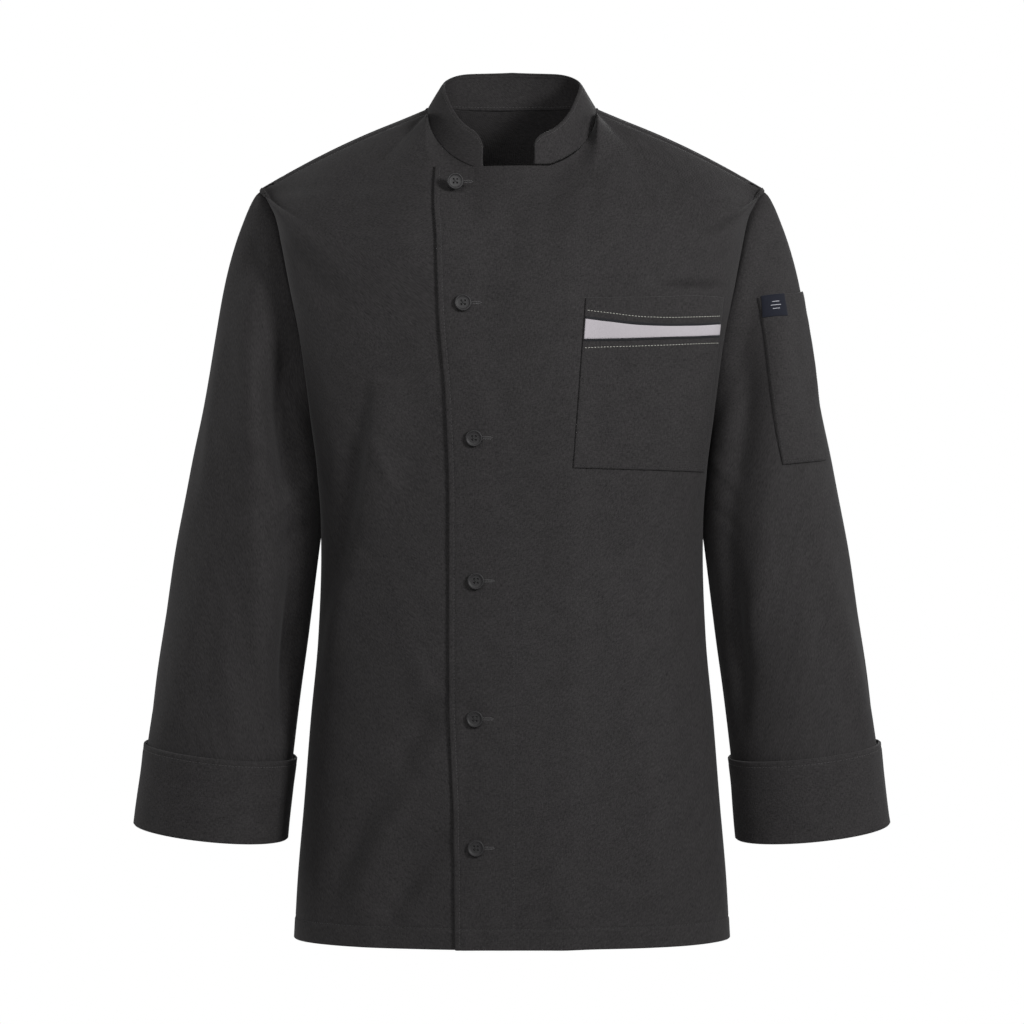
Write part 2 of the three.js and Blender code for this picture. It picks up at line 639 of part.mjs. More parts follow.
// Section of the sleeve at a height. angle is 0 at the outer edge, 90 in front,
// 180 next to the body; the section leans so that its outer edge is the higher.
function sleeveSection(angle, z) {
  const turn = radians(angle);
  const outer = read(sleeveSections, 'z', 'outer', z);
  const inner = read(sleeveSections, 'z', 'inner', z);
  const forward = Math.sin(turn) > 0;
  const depth = read(sleeveSections, 'z', forward ? 'front' : 'back', z);
  const half = (outer - inner) / 2;
  const dip = CUFF_DIP * Math.sin(turn) * smooth((DIP_FROM - z) / DIP_RUN);
  const height = half * SLEEVE_TILT * Math.cos(turn) - dip;
  const x = (outer + inner) / 2 + half * Math.cos(turn);
  return new THREE.Vector3(x, -depth * Math.sin(turn), z + height);
}

// Armhole seam by the same angle, with the gap taken out to the sleeve's side
function armhole(angle) {
  const face = angle <= 180 ? -1 : 1;
  const v = 1 + (angle <= 180 ? angle : 360 - angle) / 180;
  const point = border(v, face);
  const normal = borderNormal(v, face);
  const near = border(clamp(v - 0.02, 1, 2), face);
  const far = border(clamp(v + 0.02, 1, 2), face);
  const away = new THREE.Vector3().subVectors(far, near).cross(normal).normalize();
  if (away.x < 0) away.negate();
  return { point: moved(point, away, SEAM_GAP), normal };
}

// A point of the sleeve. q runs 0 to 1 down the cap, from the armhole to the first section
// below it, as a cubic with set directions at both ends, and 1 to 2 down the arm.
function sleevePoint(angle, q) {
  const first = sleeveSections[0].z;
  const start = armhole(angle).point;
  const end = sleeveSection(angle, first);
  const fold = (z) => foldRise(sleeveFolds, angle, z, 'angle', FOLD_PER_DEGREE);
  if (q >= 1) {
    const z = mix(first, SLEEVE_FOOT, q - 1);
    const point = sleeveSection(angle, z);
    return { point, rise: fold(z) * smooth((z - CUFF_TOP) / CUFF_FADE) };
  }
  const chord = start.distanceTo(end);
  const side = angle <= 180 ? angle : 360 - angle;
  const forward = read(sleeveStart, 'angle', 'forward', side) * (angle <= 180 ? -1 : 1);
  const reach = chord * read(sleeveStart, 'angle', 'reach', side);
  const leave = new THREE.Vector3(
    read(sleeveStart, 'angle', 'out', side),
    forward,
    -read(sleeveStart, 'angle', 'down', side)
  ).normalize().multiplyScalar(reach);
  const arrive = new THREE.Vector3().subVectors(sleeveSection(angle, first - SECTION_STEP), end);
  arrive.normalize().multiplyScalar(chord);
  const point = new THREE.Vector3()
    .addScaledVector(start, 2 * q ** 3 - 3 * q ** 2 + 1)
    .addScaledVector(leave, q ** 3 - 2 * q ** 2 + q)
    .addScaledVector(end, 3 * q ** 2 - 2 * q ** 3)
    .addScaledVector(arrive, q ** 3 - q ** 2);
  return { point, rise: fold(point.z) * smooth(q / CAP_FADE) };
}

// The sleeve's angles meet the rows of the armhole, so the seam matches point for point
function sleeveGrid() {
  const segments = 2 * ARMHOLE_ROWS;
  const angles = Array.from({ length: segments }, (_, j) => 360 - (360 * j) / segments);
  const places = [];
  for (let i = 0; i <= CAP_RINGS; i += 1) places.push(i / CAP_RINGS);
  for (let i = 1; i <= ARM_RINGS; i += 1) places.push(1 + i / ARM_RINGS);
  const made = places.map((q) => angles.map((angle) => sleevePoint(angle, q)));
  const plain = made.map((row) => row.map((item) => item.point));
  const lift = gridNormals(plain, true);
  const outer = made.map((row, i) => row.map((item, j) => moved(item.point, lift[i][j], item.rise)));
  const normals = gridNormals(outer, true);
  angles.forEach((angle, j) => {
    normals[0][j] = armhole(angle).normal;
  });
  const inner = outer.map((row, i) => row.map((point, j) => moved(point, normals[i][j], -WALL)));
  return { outer, inner };
}

const sleeve = sleeveGrid();
group.add(wallMesh('sleeve_left', sleeve.outer, sleeve.inner, cloth, true));
group.add(wallMesh('sleeve_right', mirrorGrid(sleeve.outer), mirrorGrid(sleeve.inner), cloth, true));

// Turned-back cuff: two layers of cloth round the end of the sleeve
function cuffGrid() {
  const segments = 2 * ARMHOLE_ROWS;
  const places = Array.from({ length: CUFF_RINGS + 1 }, (_, i) => i / CUFF_RINGS);
  const base = places.map((share) =>
    Array.from({ length: segments }, (_, j) =>
      sleeveSection(360 - (360 * j) / segments, mix(CUFF_TOP, CUFF_FOOT, share))
    )
  );
  const normals = gridNormals(base, true);
  const flare = (share) => CUFF_FLARE * (1 - smooth(share / CUFF_FLARE_RUN));
  const offset = (extra) =>
    base.map((row, i) => row.map((point, j) => moved(point, normals[i][j], extra + flare(places[i]))));
  return { outer: offset(CUFF_CLEAR + CUFF_WALL), inner: offset(CUFF_CLEAR) };
}

const cuff = cuffGrid();
group.add(wallMesh('cuff_left', cuff.outer, cuff.inner, cloth, true));
group.add(wallMesh('cuff_right', mirrorGrid(cuff.outer), mirrorGrid(cuff.inner), cloth, true));

// Height of the neck seam at any angle from centre front
function neckZ(angle) {
  const side = angle <= 180 ? angle : 360 - angle;
  if (side <= 90) return read(neckLine, 'angle', 'z', side);
  const over = smooth(-Math.cos(radians(side)) / NECK_STRAIGHT);
  return backNeckZ(radians(180 - side)) - (NECK_RIDGE_Z - NECK_SIDE_Z) * (1 - over) ** 2;
}

// A point of the stand collar. place is the distance along it from its left end as a share,
// share 0 is its top edge and 1 the neck seam; the ends are rounded off at the top.
function collarPoint(place, share) {
  const length = COLLAR_RUN * place;
  const toEnd = Math.min(length, COLLAR_RUN - length);
  const bite = clamp(1 - toEnd / COLLAR_CORNER, 0, 1);
  const cut = (COLLAR_CORNER / COLLAR_HEIGHT) * (1 - Math.sqrt(1 - bite ** 2));
  const height = (1 - share) * (1 - cut);
  const half = mix(NECK_HALF, COLLAR_HALF_TOP, height);
  const first = Math.asin(COLLAR_END_LEFT / half);
  const last = 2 * Math.PI - Math.asin(-COLLAR_END_RIGHT / half);
  const turn = mix(first, last, place);
  const angle = (turn * 180) / Math.PI;
  const side = angle <= 180 ? angle : 360 - angle;
  const ahead = Math.cos(turn);
  const front = mix(NECK_FRONT, COLLAR_FRONT_TOP, height);
  const behind = mix(NECK_BACK, COLLAR_BACK_TOP, height);
  const x = half * Math.sin(turn);
  const y = ahead > 0 ? -front * ahead : RIDGE_Y * smooth(-ahead / NECK_STRAIGHT) - behind * ahead;
  const step = NECK_STEP * Math.exp(-(((side - NECK_STEP_AT) / NECK_STEP_RUN) ** 2));
  const low = neckZ(angle) + NECK_CLEAR + step;
  const lift = x > 0 && ahead > 0 ? topLift(x) : 0;
  const z = mix(low, read(collarTop, 'angle', 'z', side), height) + COLLAR_LIFT_Z * lift * (1 - height);
  return new THREE.Vector3(x, y - COLLAR_LIFT_Y * lift, z);
}

function collarGrid() {
  const corner = COLLAR_CORNER / COLLAR_RUN;
  const ends = [0, 0.1, 0.3, 0.6, 1].map((share) => share * corner);
  const middle = Array.from({ length: COLLAR_COLUMNS - 1 }, (_, i) =>
    mix(corner, 1 - corner, (i + 1) / COLLAR_COLUMNS)
  );
  const places = [...ends, ...middle, ...ends.map((share) => 1 - share).reverse()];
  const outer = [];
  for (let i = 0; i <= COLLAR_ROWS; i += 1) {
    outer.push(places.map((place) => collarPoint(place, i / COLLAR_ROWS)));
  }
  const normals = gridNormals(outer, false);
  const level = normals.map((row) => row.map((normal) => normal.setZ(0).normalize()));
  const inner = outer.map((row, i) => row.map((point, j) => moved(point, level[i][j], -COLLAR_WALL)));
  return { outer, inner };
}

const collar = collarGrid();
group.add(wallMesh('collar', collar.outer, collar.inner, cloth, false));

// A patch laid on a surface: corners in the surface's own two parameters, its points moved
// out along the surface to the height of its under face, and its upper face a wall above
function patchMesh(name, corners, size, surface, under, wall, material) {
  const [topLeft, topRight, footLeft, footRight] = corners;
  const grid = [];
  for (let i = 0; i <= size.rows; i += 1) {
    const down = i / size.rows;
    const line = [];
    for (let j = 0; j <= size.columns; j += 1) {
      const over = j / size.columns;
      const a = mix(mix(topLeft[0], topRight[0], over), mix(footLeft[0], footRight[0], over), down);
      const b = mix(mix(topLeft[1], topRight[1], over), mix(footLeft[1], footRight[1], over), down);
      line.push(surface(a, b));
    }
    grid.push(line);
  }
  const normals = gridNormals(grid, false);
  const offset = (distance) => grid.map((row, i) => row.map((p, j) => moved(p, normals[i][j], distance)));
  return wallMesh(name, offset(under + wall), offset(under), material, false);
}

// The front that lies on top, as a surface over (x, z)
function onFront(x, z) {
  const depth = frontDepth(x, z);
  const slopeX = frontDepth(x + 1, z) - depth;
  const slopeZ = frontDepth(x, z - 1) - depth;
  return new THREE.Vector3(x, depth - topLift(x) * Math.hypot(1, slopeX, slopeZ), z);
}

// The pocket stands a little further off where the chest turns to the side
function onPocket(x, z) {
  const stand = POCKET_STAND * smooth((x - POCKET_TURN_X) / POCKET_TURN_RUN);
  return onFront(x, z).add(new THREE.Vector3(stand / 2, -stand, 0));
}

const pocketSize = { columns: 8, rows: 8 };
group.add(patchMesh('chest_pocket', pocketCorners, pocketSize, onPocket, PATCH_GAP, PATCH_WALL, cloth));

// A strip lies on the pocket between its left and right edges
function stripMesh(name, place, material) {
  const [topLeft, topRight, footLeft, footRight] = pocketCorners;
  const leftAt = (down) => [mix(topLeft[0], footLeft[0], down), mix(topLeft[1], footLeft[1], down)];
  const rightAt = (down) => [mix(topRight[0], footRight[0], down), mix(topRight[1], footRight[1], down)];
  const upper = [leftAt(place.leftTop), rightAt(place.rightTop)];
  const lower = [leftAt(place.leftFoot), rightAt(place.rightFoot)];
  const size = { columns: pocketSize.columns, rows: 1 };
  const under = PATCH_GAP + PATCH_WALL + PATCH_GAP;
  return patchMesh(name, [...upper, ...lower], size, onPocket, under, STRIP_WALL, material);
}

// Pale insert across the chest pocket, between two dark pipings
group.add(stripMesh('pocket_insert', insertPlace, pale));
group.add(stripMesh('piping_upper', upperPipingPlace, dark));
group.add(stripMesh('piping_lower', lowerPipingPlace, dark));

// The left sleeve as a surface over (angle, q), with its folds
function onSleeve(angle, q) {
  const { point, rise } = sleevePoint(angle, q);
  const beside = sleevePoint(angle - 0.5, q).point.sub(point);
  const below = sleevePoint(angle, q + 0.01).point.sub(point);
  return moved(point, below.cross(beside).normalize(), rise);
}

// The same surface by angle and height, whose q is found by halving
function atSleeveHeight(angle, z) {
  let above = 0;
  let below = 2;
  for (let i = 0; i < SLEEVE_HALVINGS; i += 1) {
    const middle = (above + below) / 2;
    const high = sleevePoint(angle, middle).point.z > z;
    above = high ? middle : above;
    below = high ? below : middle;
  }
  return onSleeve(angle, above);
}

// Pen pocket on the left sleeve
const penSize = { columns: 5, rows: 9 };
const pen = sleevePocketCorners;
group.add(patchMesh('sleeve_pocket', pen, penSize, atSleeveHeight, SLEEVE_GAP, PATCH_WALL, cloth));

// Woven label at the pocket's upper corner
const labelSize = { columns: 2, rows: 2 };
const tag = sleeveLabelCorners;
group.add(patchMesh('sleeve_label', tag, labelSize, atSleeveHeight, LABEL_UNDER, STRIP_WALL, dark));

// A button is a turned disc with a raised rim
function buttonShape() {
  const profile = buttonProfile.map((row) => new THREE.Vector2(row.radius, row.height));
  const lathe = new THREE.LatheGeometry(profile, BUTTON_SIDES);
  lathe.deleteAttribute('normal');
  lathe.deleteAttribute('uv');
  const shape = mergeVertices(lathe, WELD);
  shape.computeVertexNormals();
  return shape;
}

// Six buttons down the top front, each facing out of the cloth at its place
const turned = buttonShape();
buttonPlaces.forEach((place, i) => {
  const button = new THREE.Mesh(turned.clone(), plastic);
  button.name = `button_${i + 1}`;
  const right = onFront(place.x + BUTTON_SPAN, place.z);
  const across = right.sub(onFront(place.x - BUTTON_SPAN, place.z));
  const foot = onFront(place.x, place.z - BUTTON_SPAN);
  const down = foot.sub(onFront(place.x, place.z + BUTTON_SPAN));
  const normal = down.cross(across).normalize();
  button.quaternion.setFromUnitVectors(new THREE.Vector3(0, 1, 0), normal);
  button.position.copy(moved(onFront(place.x, place.z), normal, place.gap));
  group.add(button);
});

export default group;
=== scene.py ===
import math

import bpy
import numpy as np
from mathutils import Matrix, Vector


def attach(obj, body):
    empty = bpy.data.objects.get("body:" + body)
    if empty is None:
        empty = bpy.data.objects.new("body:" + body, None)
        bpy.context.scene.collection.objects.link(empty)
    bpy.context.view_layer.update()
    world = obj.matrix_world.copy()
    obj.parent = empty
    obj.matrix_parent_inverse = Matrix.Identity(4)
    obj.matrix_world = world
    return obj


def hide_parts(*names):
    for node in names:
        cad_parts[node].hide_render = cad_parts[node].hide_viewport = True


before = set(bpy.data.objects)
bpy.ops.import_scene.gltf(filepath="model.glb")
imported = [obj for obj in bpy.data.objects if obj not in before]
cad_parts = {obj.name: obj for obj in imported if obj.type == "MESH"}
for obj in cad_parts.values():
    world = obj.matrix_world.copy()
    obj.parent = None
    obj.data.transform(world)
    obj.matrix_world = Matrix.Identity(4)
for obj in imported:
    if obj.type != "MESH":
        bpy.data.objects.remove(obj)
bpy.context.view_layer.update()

# Camera, light and floor. The photograph was taken level with the waist, straight from the
# front. Two soft boxes light the jacket's front, two stand behind its sides and graze the
# sleeves, one lights its back, and the white room fills in a little.
CAMERA_AWAY = 3.0
CAMERA_Z = -0.38
PICTURE_PIXELS = 1024
PIXEL_SIZE = 0.000945
SENSOR = 36.0
ROOM_LIGHT = 0.13
FLOOR_Z = -1.25
FLOOR_RADIUS = 0.8
FLOOR_CORNERS = 96
FLOOR_COLOUR = (0.86, 0.86, 0.86, 1)
FLOOR_ROUGHNESS = 0.9

camera_data = bpy.data.cameras.new("camera")
camera_data.sensor_width = SENSOR
camera_data.lens = SENSOR * CAMERA_AWAY / (PICTURE_PIXELS * PIXEL_SIZE)
camera = bpy.data.objects.new("camera", camera_data)
camera.location = (0, -CAMERA_AWAY, CAMERA_Z)
camera.rotation_euler = (math.pi / 2, 0, 0)
bpy.context.scene.collection.objects.link(camera)
bpy.context.scene.camera = camera


def softbox(name, place, aim, size, power):
    """A square area light of one size, turned so that it faces its aim."""
    data = bpy.data.lights.new(name, "AREA")
    data.size = size
    data.energy = power
    lamp = bpy.data.objects.new(name, data)
    lamp.location = place
    lamp.rotation_euler = (Vector(aim) - Vector(place)).to_track_quat("-Z", "Y").to_euler()
    bpy.context.scene.collection.objects.link(lamp)


def set_sockets(node, **values):
    """Set sockets of a node by their names, with underscores for spaces, and give it back."""
    for socket, value in values.items():
        node.inputs[socket.replace("_", " ")].default_value = value
    return node


def paint(name, **values):
    """A material whose shader has these values in its own sockets."""
    material = bpy.data.materials.new(name)
    material.use_nodes = True
    set_sockets(material.node_tree.nodes["Principled BSDF"], **values)
    return material


softbox("key_light", place=(1.3, -1.5, 0.35), aim=(0, 0, -0.25), size=0.45, power=29)
softbox("front_light", place=(-0.5, -2.2, 0.65), aim=(0, 0, -0.3), size=1.2, power=17)
softbox("right_light", place=(1.8, 0.5, 0.1), aim=(0.2, 0, -0.3), size=0.7, power=5)
softbox("left_light", place=(-1.8, 0.35, 0), aim=(-0.2, 0, -0.3), size=0.7, power=9)
softbox("back_light", place=(0.6, 2.6, 0.7), aim=(0, 0, -0.4), size=1.8, power=30)

world = bpy.data.worlds.new("white_room")
world.use_nodes = True
nodes, links = world.node_tree.nodes, world.node_tree.links
path_node = nodes.new("ShaderNodeLightPath")
level = set_sockets(nodes.new("ShaderNodeMapRange"), To_Min=ROOM_LIGHT, To_Max=1.0)
links.new(path_node.outputs["Is Camera Ray"], level.inputs["Value"])
links.new(level.outputs["Result"], nodes["Background"].inputs["Strength"])
set_sockets(nodes["Background"], Color=(1, 1, 1, 1))
bpy.context.scene.world = world
bpy.context.scene.view_settings.view_transform = "Standard"

bpy.ops.mesh.primitive_circle_add(
    vertices=FLOOR_CORNERS, radius=FLOOR_RADIUS, fill_type="NGON", location=(0, 0, FLOOR_Z))
floor = bpy.context.object
floor.name = "floor"
floor.data.materials.append(paint("pale_floor", Base_Color=FLOOR_COLOUR, Roughness=FLOOR_ROUGHNESS))

# Back panel: one piece of charcoal poly-cotton twill from the shoulder seams to the hem.
# It is cut flat, eased over the shoulder blades, and sewn to the fronts at the shoulders
# and sides. All sizes of the pattern are in millimetres; MM takes them to metres.
MM = 0.001
CLOTH_WALL = 1.2
SHOULDER_GAP = 0.7
NECK_HALF = 79.5
NECK_FRONT = 72
NECK_BACK = 46
RIDGE_Y = 12
NECK_FRONT_Z = -62.5
NECK_BACK_Z = 6.5
NECK_SIDE_Z = -3.5
NECK_RIDGE_Z = 2.5
NECK_STRAIGHT = 0.12
NECK_CURVE = 1.2
TIP_X = 236.5
TIP_Z = -75
UNDERARM_Z = -290
HEM_Z = -778
HEM_STITCH = 19
ARM_FRONT = 46
ARM_BACK = 50
ARM_CURVE = 1.3
CHEST_POWER = 2.35
FRONT_EASE = 120
BACK_EASE = 105
BACK_ROUND = 2.4
TIP_EASE = 75
TIP_FROM = 120
TIP_RUN = 100
NECK_SPREAD = 1.2
SOFTEN = 60
NECK_SOFTEN = 34
EDGE_ROLL = 1.25
ROLL_FROM = 45
SHOULDER_OUT = (0.42, 0.68)
SHOULDER_UP = (0.91, 0.73)
ARM_OUT = 0.75
ARM_ROUND = 0.8
SIDE_SETTLE = 0.12
HEM_ZONE = 26
ROW_COUNTS = (44, 78, 122, 27)
NECK_CROWD = 1.5
BACK_COLUMNS = 67
BACK_FLAT = 9 / 11
BACK_PHASE = 2.2


def columns(names, rows):
    """A short table as one array for each named column."""
    return dict(zip(names.split(), np.array(rows, float).T))


def mix(start, end, share):
    """Straight blend from start to end."""
    return start + (end - start) * share


def smooth(value):
    """Eased step: 0 below 0, 1 above 1, and a cubic between."""
    value = np.clip(value, 0, 1)
    return value**2 * (3 - 2 * value)


def read(table, key, column, at):
    """Smooth reading of a table without overshoot: cubic pieces whose slope at a row is
    the harmonic mean of the slopes beside it, or zero at a turning point."""
    keys, values = table[key], table[column]
    if keys[-1] < keys[0]:
        keys, values = keys[::-1], values[::-1]
    at = np.clip(at, keys[0], keys[-1])
    steps = np.diff(values) / np.diff(keys)
    same = steps[:-1] * steps[1:] > 0
    sums = np.where(same, steps[:-1] + steps[1:], 1)
    slopes = np.concatenate([steps[:1], np.where(same, 2 * steps[:-1] * steps[1:] / sums, 0), steps[-1:]])
    i = np.clip(np.searchsorted(keys, at) - 1, 0, len(keys) - 2)
    width = keys[i + 1] - keys[i]
    s = (at - keys[i]) / width
    start = (2 * s**3 - 3 * s**2 + 1) * values[i] + (s**3 - 2 * s**2 + s) * width * slopes[i]
    return start + (3 * s**2 - 2 * s**3) * values[i + 1] + (s**3 - s**2) * width * slopes[i + 1]


def points(x, y, z):
    """Three arrays as one array of points."""
    return np.stack(np.broadcast_arrays(x, y, z), axis=-1)


shoulder_line = columns("x seam ridge", [
    (79.5, -3.5, 2.3), (106.8, -12.8, -9.5), (134.2, -24, -20.8), (159.7, -35.2, -32.1),
    (183.3, -46.6, -43.5), (205, -57.8, -54.8), (225.9, -69.2, -66.2), (236.5, -75, -72.4),
])
soft_shoulder = columns("x front back", [
    (0, -62.5, 4), (35, -50, 2.5), (65, -33, -2), (95, -24, -9),
    (125, -26, -18.5), (155, -36, -30.5), (190, -51, -47), (236.5, -75, -72.4),
])
neck_line = columns("angle z", [
    (0, -62.5), (24.4, -61.6), (32.4, -57.8), (46, -48.2), (62, -33), (75, -18.5), (83, -9.2), (90, -3.5),
])
sections = columns("z half front back front_side back_side inset", [
    (10, 268, 96, 88, 6, 10, 0),
    (-62, 243, 103, 104, 8, 14, 0),
    (-75, 237, 105, 107, 9, 16, 0.2),
    (-89, 229, 108, 110, 30, 32, 1.2),
    (-106, 220.5, 111, 113, 42, 46, 2.2),
    (-130, 214.5, 115, 116, 51, 55, 3.5),
    (-170, 206.5, 119, 119, 57, 61, 5),
    (-220, 196.5, 122, 119, 59, 62, 8),
    (-260, 191, 122, 116, 57, 60, 12),
    (-294, 187, 121, 112, 52, 54, 14),
    (-340, 181.5, 118, 106, 44, 44, 10),
    (-390, 178.8, 115, 101, 28, 26, 3.5),
    (-430, 179.2, 113, 98, 16, 14, 0.8),
    (-498, 182, 112, 98, 14, 14, 0.6),
    (-574, 189, 113, 102, 14, 14, 0.6),
    (-650, 195, 115, 107, 14, 14, 0.6),
    (-725, 201.4, 114, 110, 14, 14, 0.6),
    (-779, 204.4, 112, 111, 14, 14, 0.6),
])
row_centres = columns("v front back", [
    (0, -62.5, 6.5), (0.5, -100, -22), (1, -148, -70), (1.5, -215, -170), (2, -294, -288), (3, -778, -778),
])
# Soft folds: from (a, z) to (to_a, to_z), the bow of the line, its width, how many times as
# wide its far side is, and its rise; a trough has a negative rise.
FOLD_STRENGTH = 1.7
FOLD_ENDS = 0.35
FOLD_MARGIN = 12
FOLD_BELOW = 30
FOLD_COLUMNS = "a z to_a to_z bow width far rise"
back_folds = columns(FOLD_COLUMNS, [
    (-120, -300, -60, -420, 6, 20, 1, -3.5),
    (128, -290, 70, -430, -8, 21, 1, -3.5),
    (-150, -420, -120, -640, 5, 22, 1, 3.5),
    (148, -430, 125, -660, -6, 22, 1, 3.5),
    (-40, -500, -55, -770, 4, 24, 1, -3.5),
    (48, -520, 62, -770, -5, 24, 1, -3.5),
    (4, -420, 2, -770, 3, 24, 1, 3),
    (-165, -250, -96, -330, 9, 9, 0.7, 1.6),
    (170, -262, 104, -352, -7, 8, 0.7, 1.8),
    (-172, -300, -118, -372, 8, 7, 0.6, -1.4),
    (166, -318, 112, -398, -8, 8, 0.6, -1.5),
    (-60, -60, -96, -180, 8, 16, 1, 1.5),
    (66, -66, 92, -196, -7, 15, 1, 1.3),
    (-96, -560, -112, -760, 4, 10, 0.8, 1.6),
    (92, -590, 104, -765, -3, 11, 0.8, 1.5),
    (20, -600, 26, -768, 2, 9, 0.8, 1.2),
    (-16, -80, 6, -240, 3, 18, 1, -1.1),
])
# Slight unevenness of hung cloth: waves by their length across and down, lean and height.
unevenness = columns("across down phase rise", [
    (210, 330, 0.4, 0.5), (-160, 240, 1.9, 0.4), (95, 410, 3.1, 0.34),
    (-74, 150, 4.4, 0.22), (57, -120, 5.2, 0.16), (39, 88, 0.9, 0.1),
])


def fold_rise(folds, a, z, scale=1.0):
    """Sum of soft folds at (a, z): across each bowed line a bell of its own width on either
    side, fading out towards both ends. scale is the millimetres in one unit of a."""
    rise = np.zeros(np.broadcast(a, z).shape)
    for from_a, from_z, to_a, to_z, bow, width, far, height in zip(*folds.values()):
        run_a, run_z = (to_a - from_a) * scale, to_z - from_z
        off_a, off_z = (a - from_a) * scale, z - from_z
        length = math.hypot(run_a, run_z)
        along = np.clip((off_a * run_a + off_z * run_z) / length**2, 0, 1)
        side = (off_a * run_z - off_z * run_a) / length - bow * 4 * along * (1 - along)
        past = np.maximum(np.abs((off_a * run_a + off_z * run_z) / length - length / 2) - length / 2, 0)
        spread = np.where(side > 0, width, width * far)
        fade = FOLD_ENDS + (1 - FOLD_ENDS) * np.sin(math.pi * along)
        rise += FOLD_STRENGTH * height * fade * np.exp(-(side / spread) ** 2 - (past / width) ** 2)
    return rise


def sway(a, z, turn):
    """Sum of long low waves, each by its length across and down."""
    rise = np.zeros(np.broadcast(a, z).shape)
    for across, down, phase, height in zip(*unevenness.values()):
        rise += height * np.sin(2 * math.pi * (a / across + z / down) + phase + turn)
    return rise


def neck_bulge(x, below):
    """The neck's round shape in the panel: its half ellipse, which is a power of a half, and
    further down a wider shape of a higher power, which is softer."""
    reach = np.abs(x) / (NECK_HALF + NECK_SPREAD * below)
    return np.maximum(0, 1 - reach**2) ** (0.5 + below / NECK_SOFTEN)


def swell(half, centre, side, x):
    """Depth of a horizontal section: a superellipse from the side's depth to the centre's."""
    share = np.minimum(np.abs(x) / half, 1)
    return side + (centre - side) * (1 - share**CHEST_POWER) ** (1 / CHEST_POWER)


def back_neck_z(angle):
    """Height of the neck seam behind, by the angle from centre back in radians."""
    return NECK_BACK_Z + (NECK_RIDGE_Z - NECK_BACK_Z) * (1 - np.cos(angle)) ** NECK_CURVE


def back_depth(x, z, hand):
    """Depth of the back at (x, z): from the neck and the shoulder ridge out over the
    blades, with the folds added where the panel isn't at its edge. hand is 1 on the
    wearer's left and -1 on the right, where x is mirrored and only the folds differ."""
    across = np.minimum(np.abs(x) / NECK_HALF, 1)
    on_neck = np.abs(x) < NECK_HALF
    ridge_z = read(shoulder_line, "x", "ridge", np.abs(x))
    top_z = np.where(on_neck, back_neck_z(np.arcsin(across)), ridge_z)
    below = np.maximum(0, top_z - z)
    top_y = RIDGE_Y + NECK_BACK * neck_bulge(x, below)
    from_z = mix(top_z, read(soft_shoulder, "x", "back", np.abs(x)), smooth(below / SOFTEN))
    half = read(sections, "z", "half", z)
    blade = swell(half, read(sections, "z", "back", z), read(sections, "z", "back_side", z), x)
    ease = mix(BACK_EASE, TIP_EASE, smooth((np.abs(x) - TIP_FROM) / TIP_RUN))
    out = 1 - (1 - np.clip((from_z - z) / ease, 0, 1)) ** BACK_ROUND
    fade = smooth((half - np.abs(x)) / FOLD_MARGIN) * smooth(below / FOLD_BELOW)
    folds = fold_rise(back_folds, hand * x, z) + sway(hand * x, z, BACK_PHASE)
    return top_y + (blade - top_y) * out + folds * fade


def border(v, face):
    """Side border of a body panel: v runs 0 to 1 down the shoulder seam, 1 to 2 round the
    armhole, a half ellipse, and 2 to 3 down the side seam. face is -1 in front, 1 behind."""
    x = mix(NECK_HALF, TIP_X, np.clip(v, 0, 1))
    shoulder = points(x, 0, read(shoulder_line, "x", "seam", x))
    turn = math.pi * np.clip(v - 1, 0, 1)
    z = mix(UNDERARM_Z, TIP_Z, 0.5 + 0.5 * np.cos(turn))
    x = read(sections, "z", "half", z) - read(sections, "z", "inset", z)
    y = face * (ARM_FRONT if face < 0 else ARM_BACK) * np.abs(np.sin(turn)) ** ARM_CURVE
    armhole = points(x, y, z)
    z = mix(UNDERARM_Z, HEM_Z, np.clip(v - 2, 0, 1))
    side = points(read(sections, "z", "half", z) - read(sections, "z", "inset", z), 0, z)
    v = np.asarray(v)[..., None]
    return np.where(v <= 1, shoulder, np.where(v <= 2, armhole, side))


def unit(vectors):
    """The same directions with length 1."""
    return vectors / np.maximum(np.linalg.norm(vectors, axis=-1, keepdims=True), 1e-12)


def border_normal(v, face):
    """Way out of the cloth at that border, shared by both pieces so that they mitre."""
    turned = np.clip(v, 0, 1) ** 4
    shoulder = points(mix(*SHOULDER_OUT, turned), 0, mix(*SHOULDER_UP, turned))
    turn = math.pi * np.clip(v - 1, 0, 1)
    out, ahead, up = ARM_OUT * np.cos(turn / 2), face * ARM_ROUND * np.sin(turn), ARM_ROUND * np.cos(turn)
    armhole = unit(points(out, ahead, up))
    settle = smooth((v - 2) / SIDE_SETTLE)
    side = unit(points(settle, 0, settle - 1))
    v = np.asarray(v)[..., None]
    return np.where(v <= 1, shoulder, np.where(v <= 2, armhole, side))


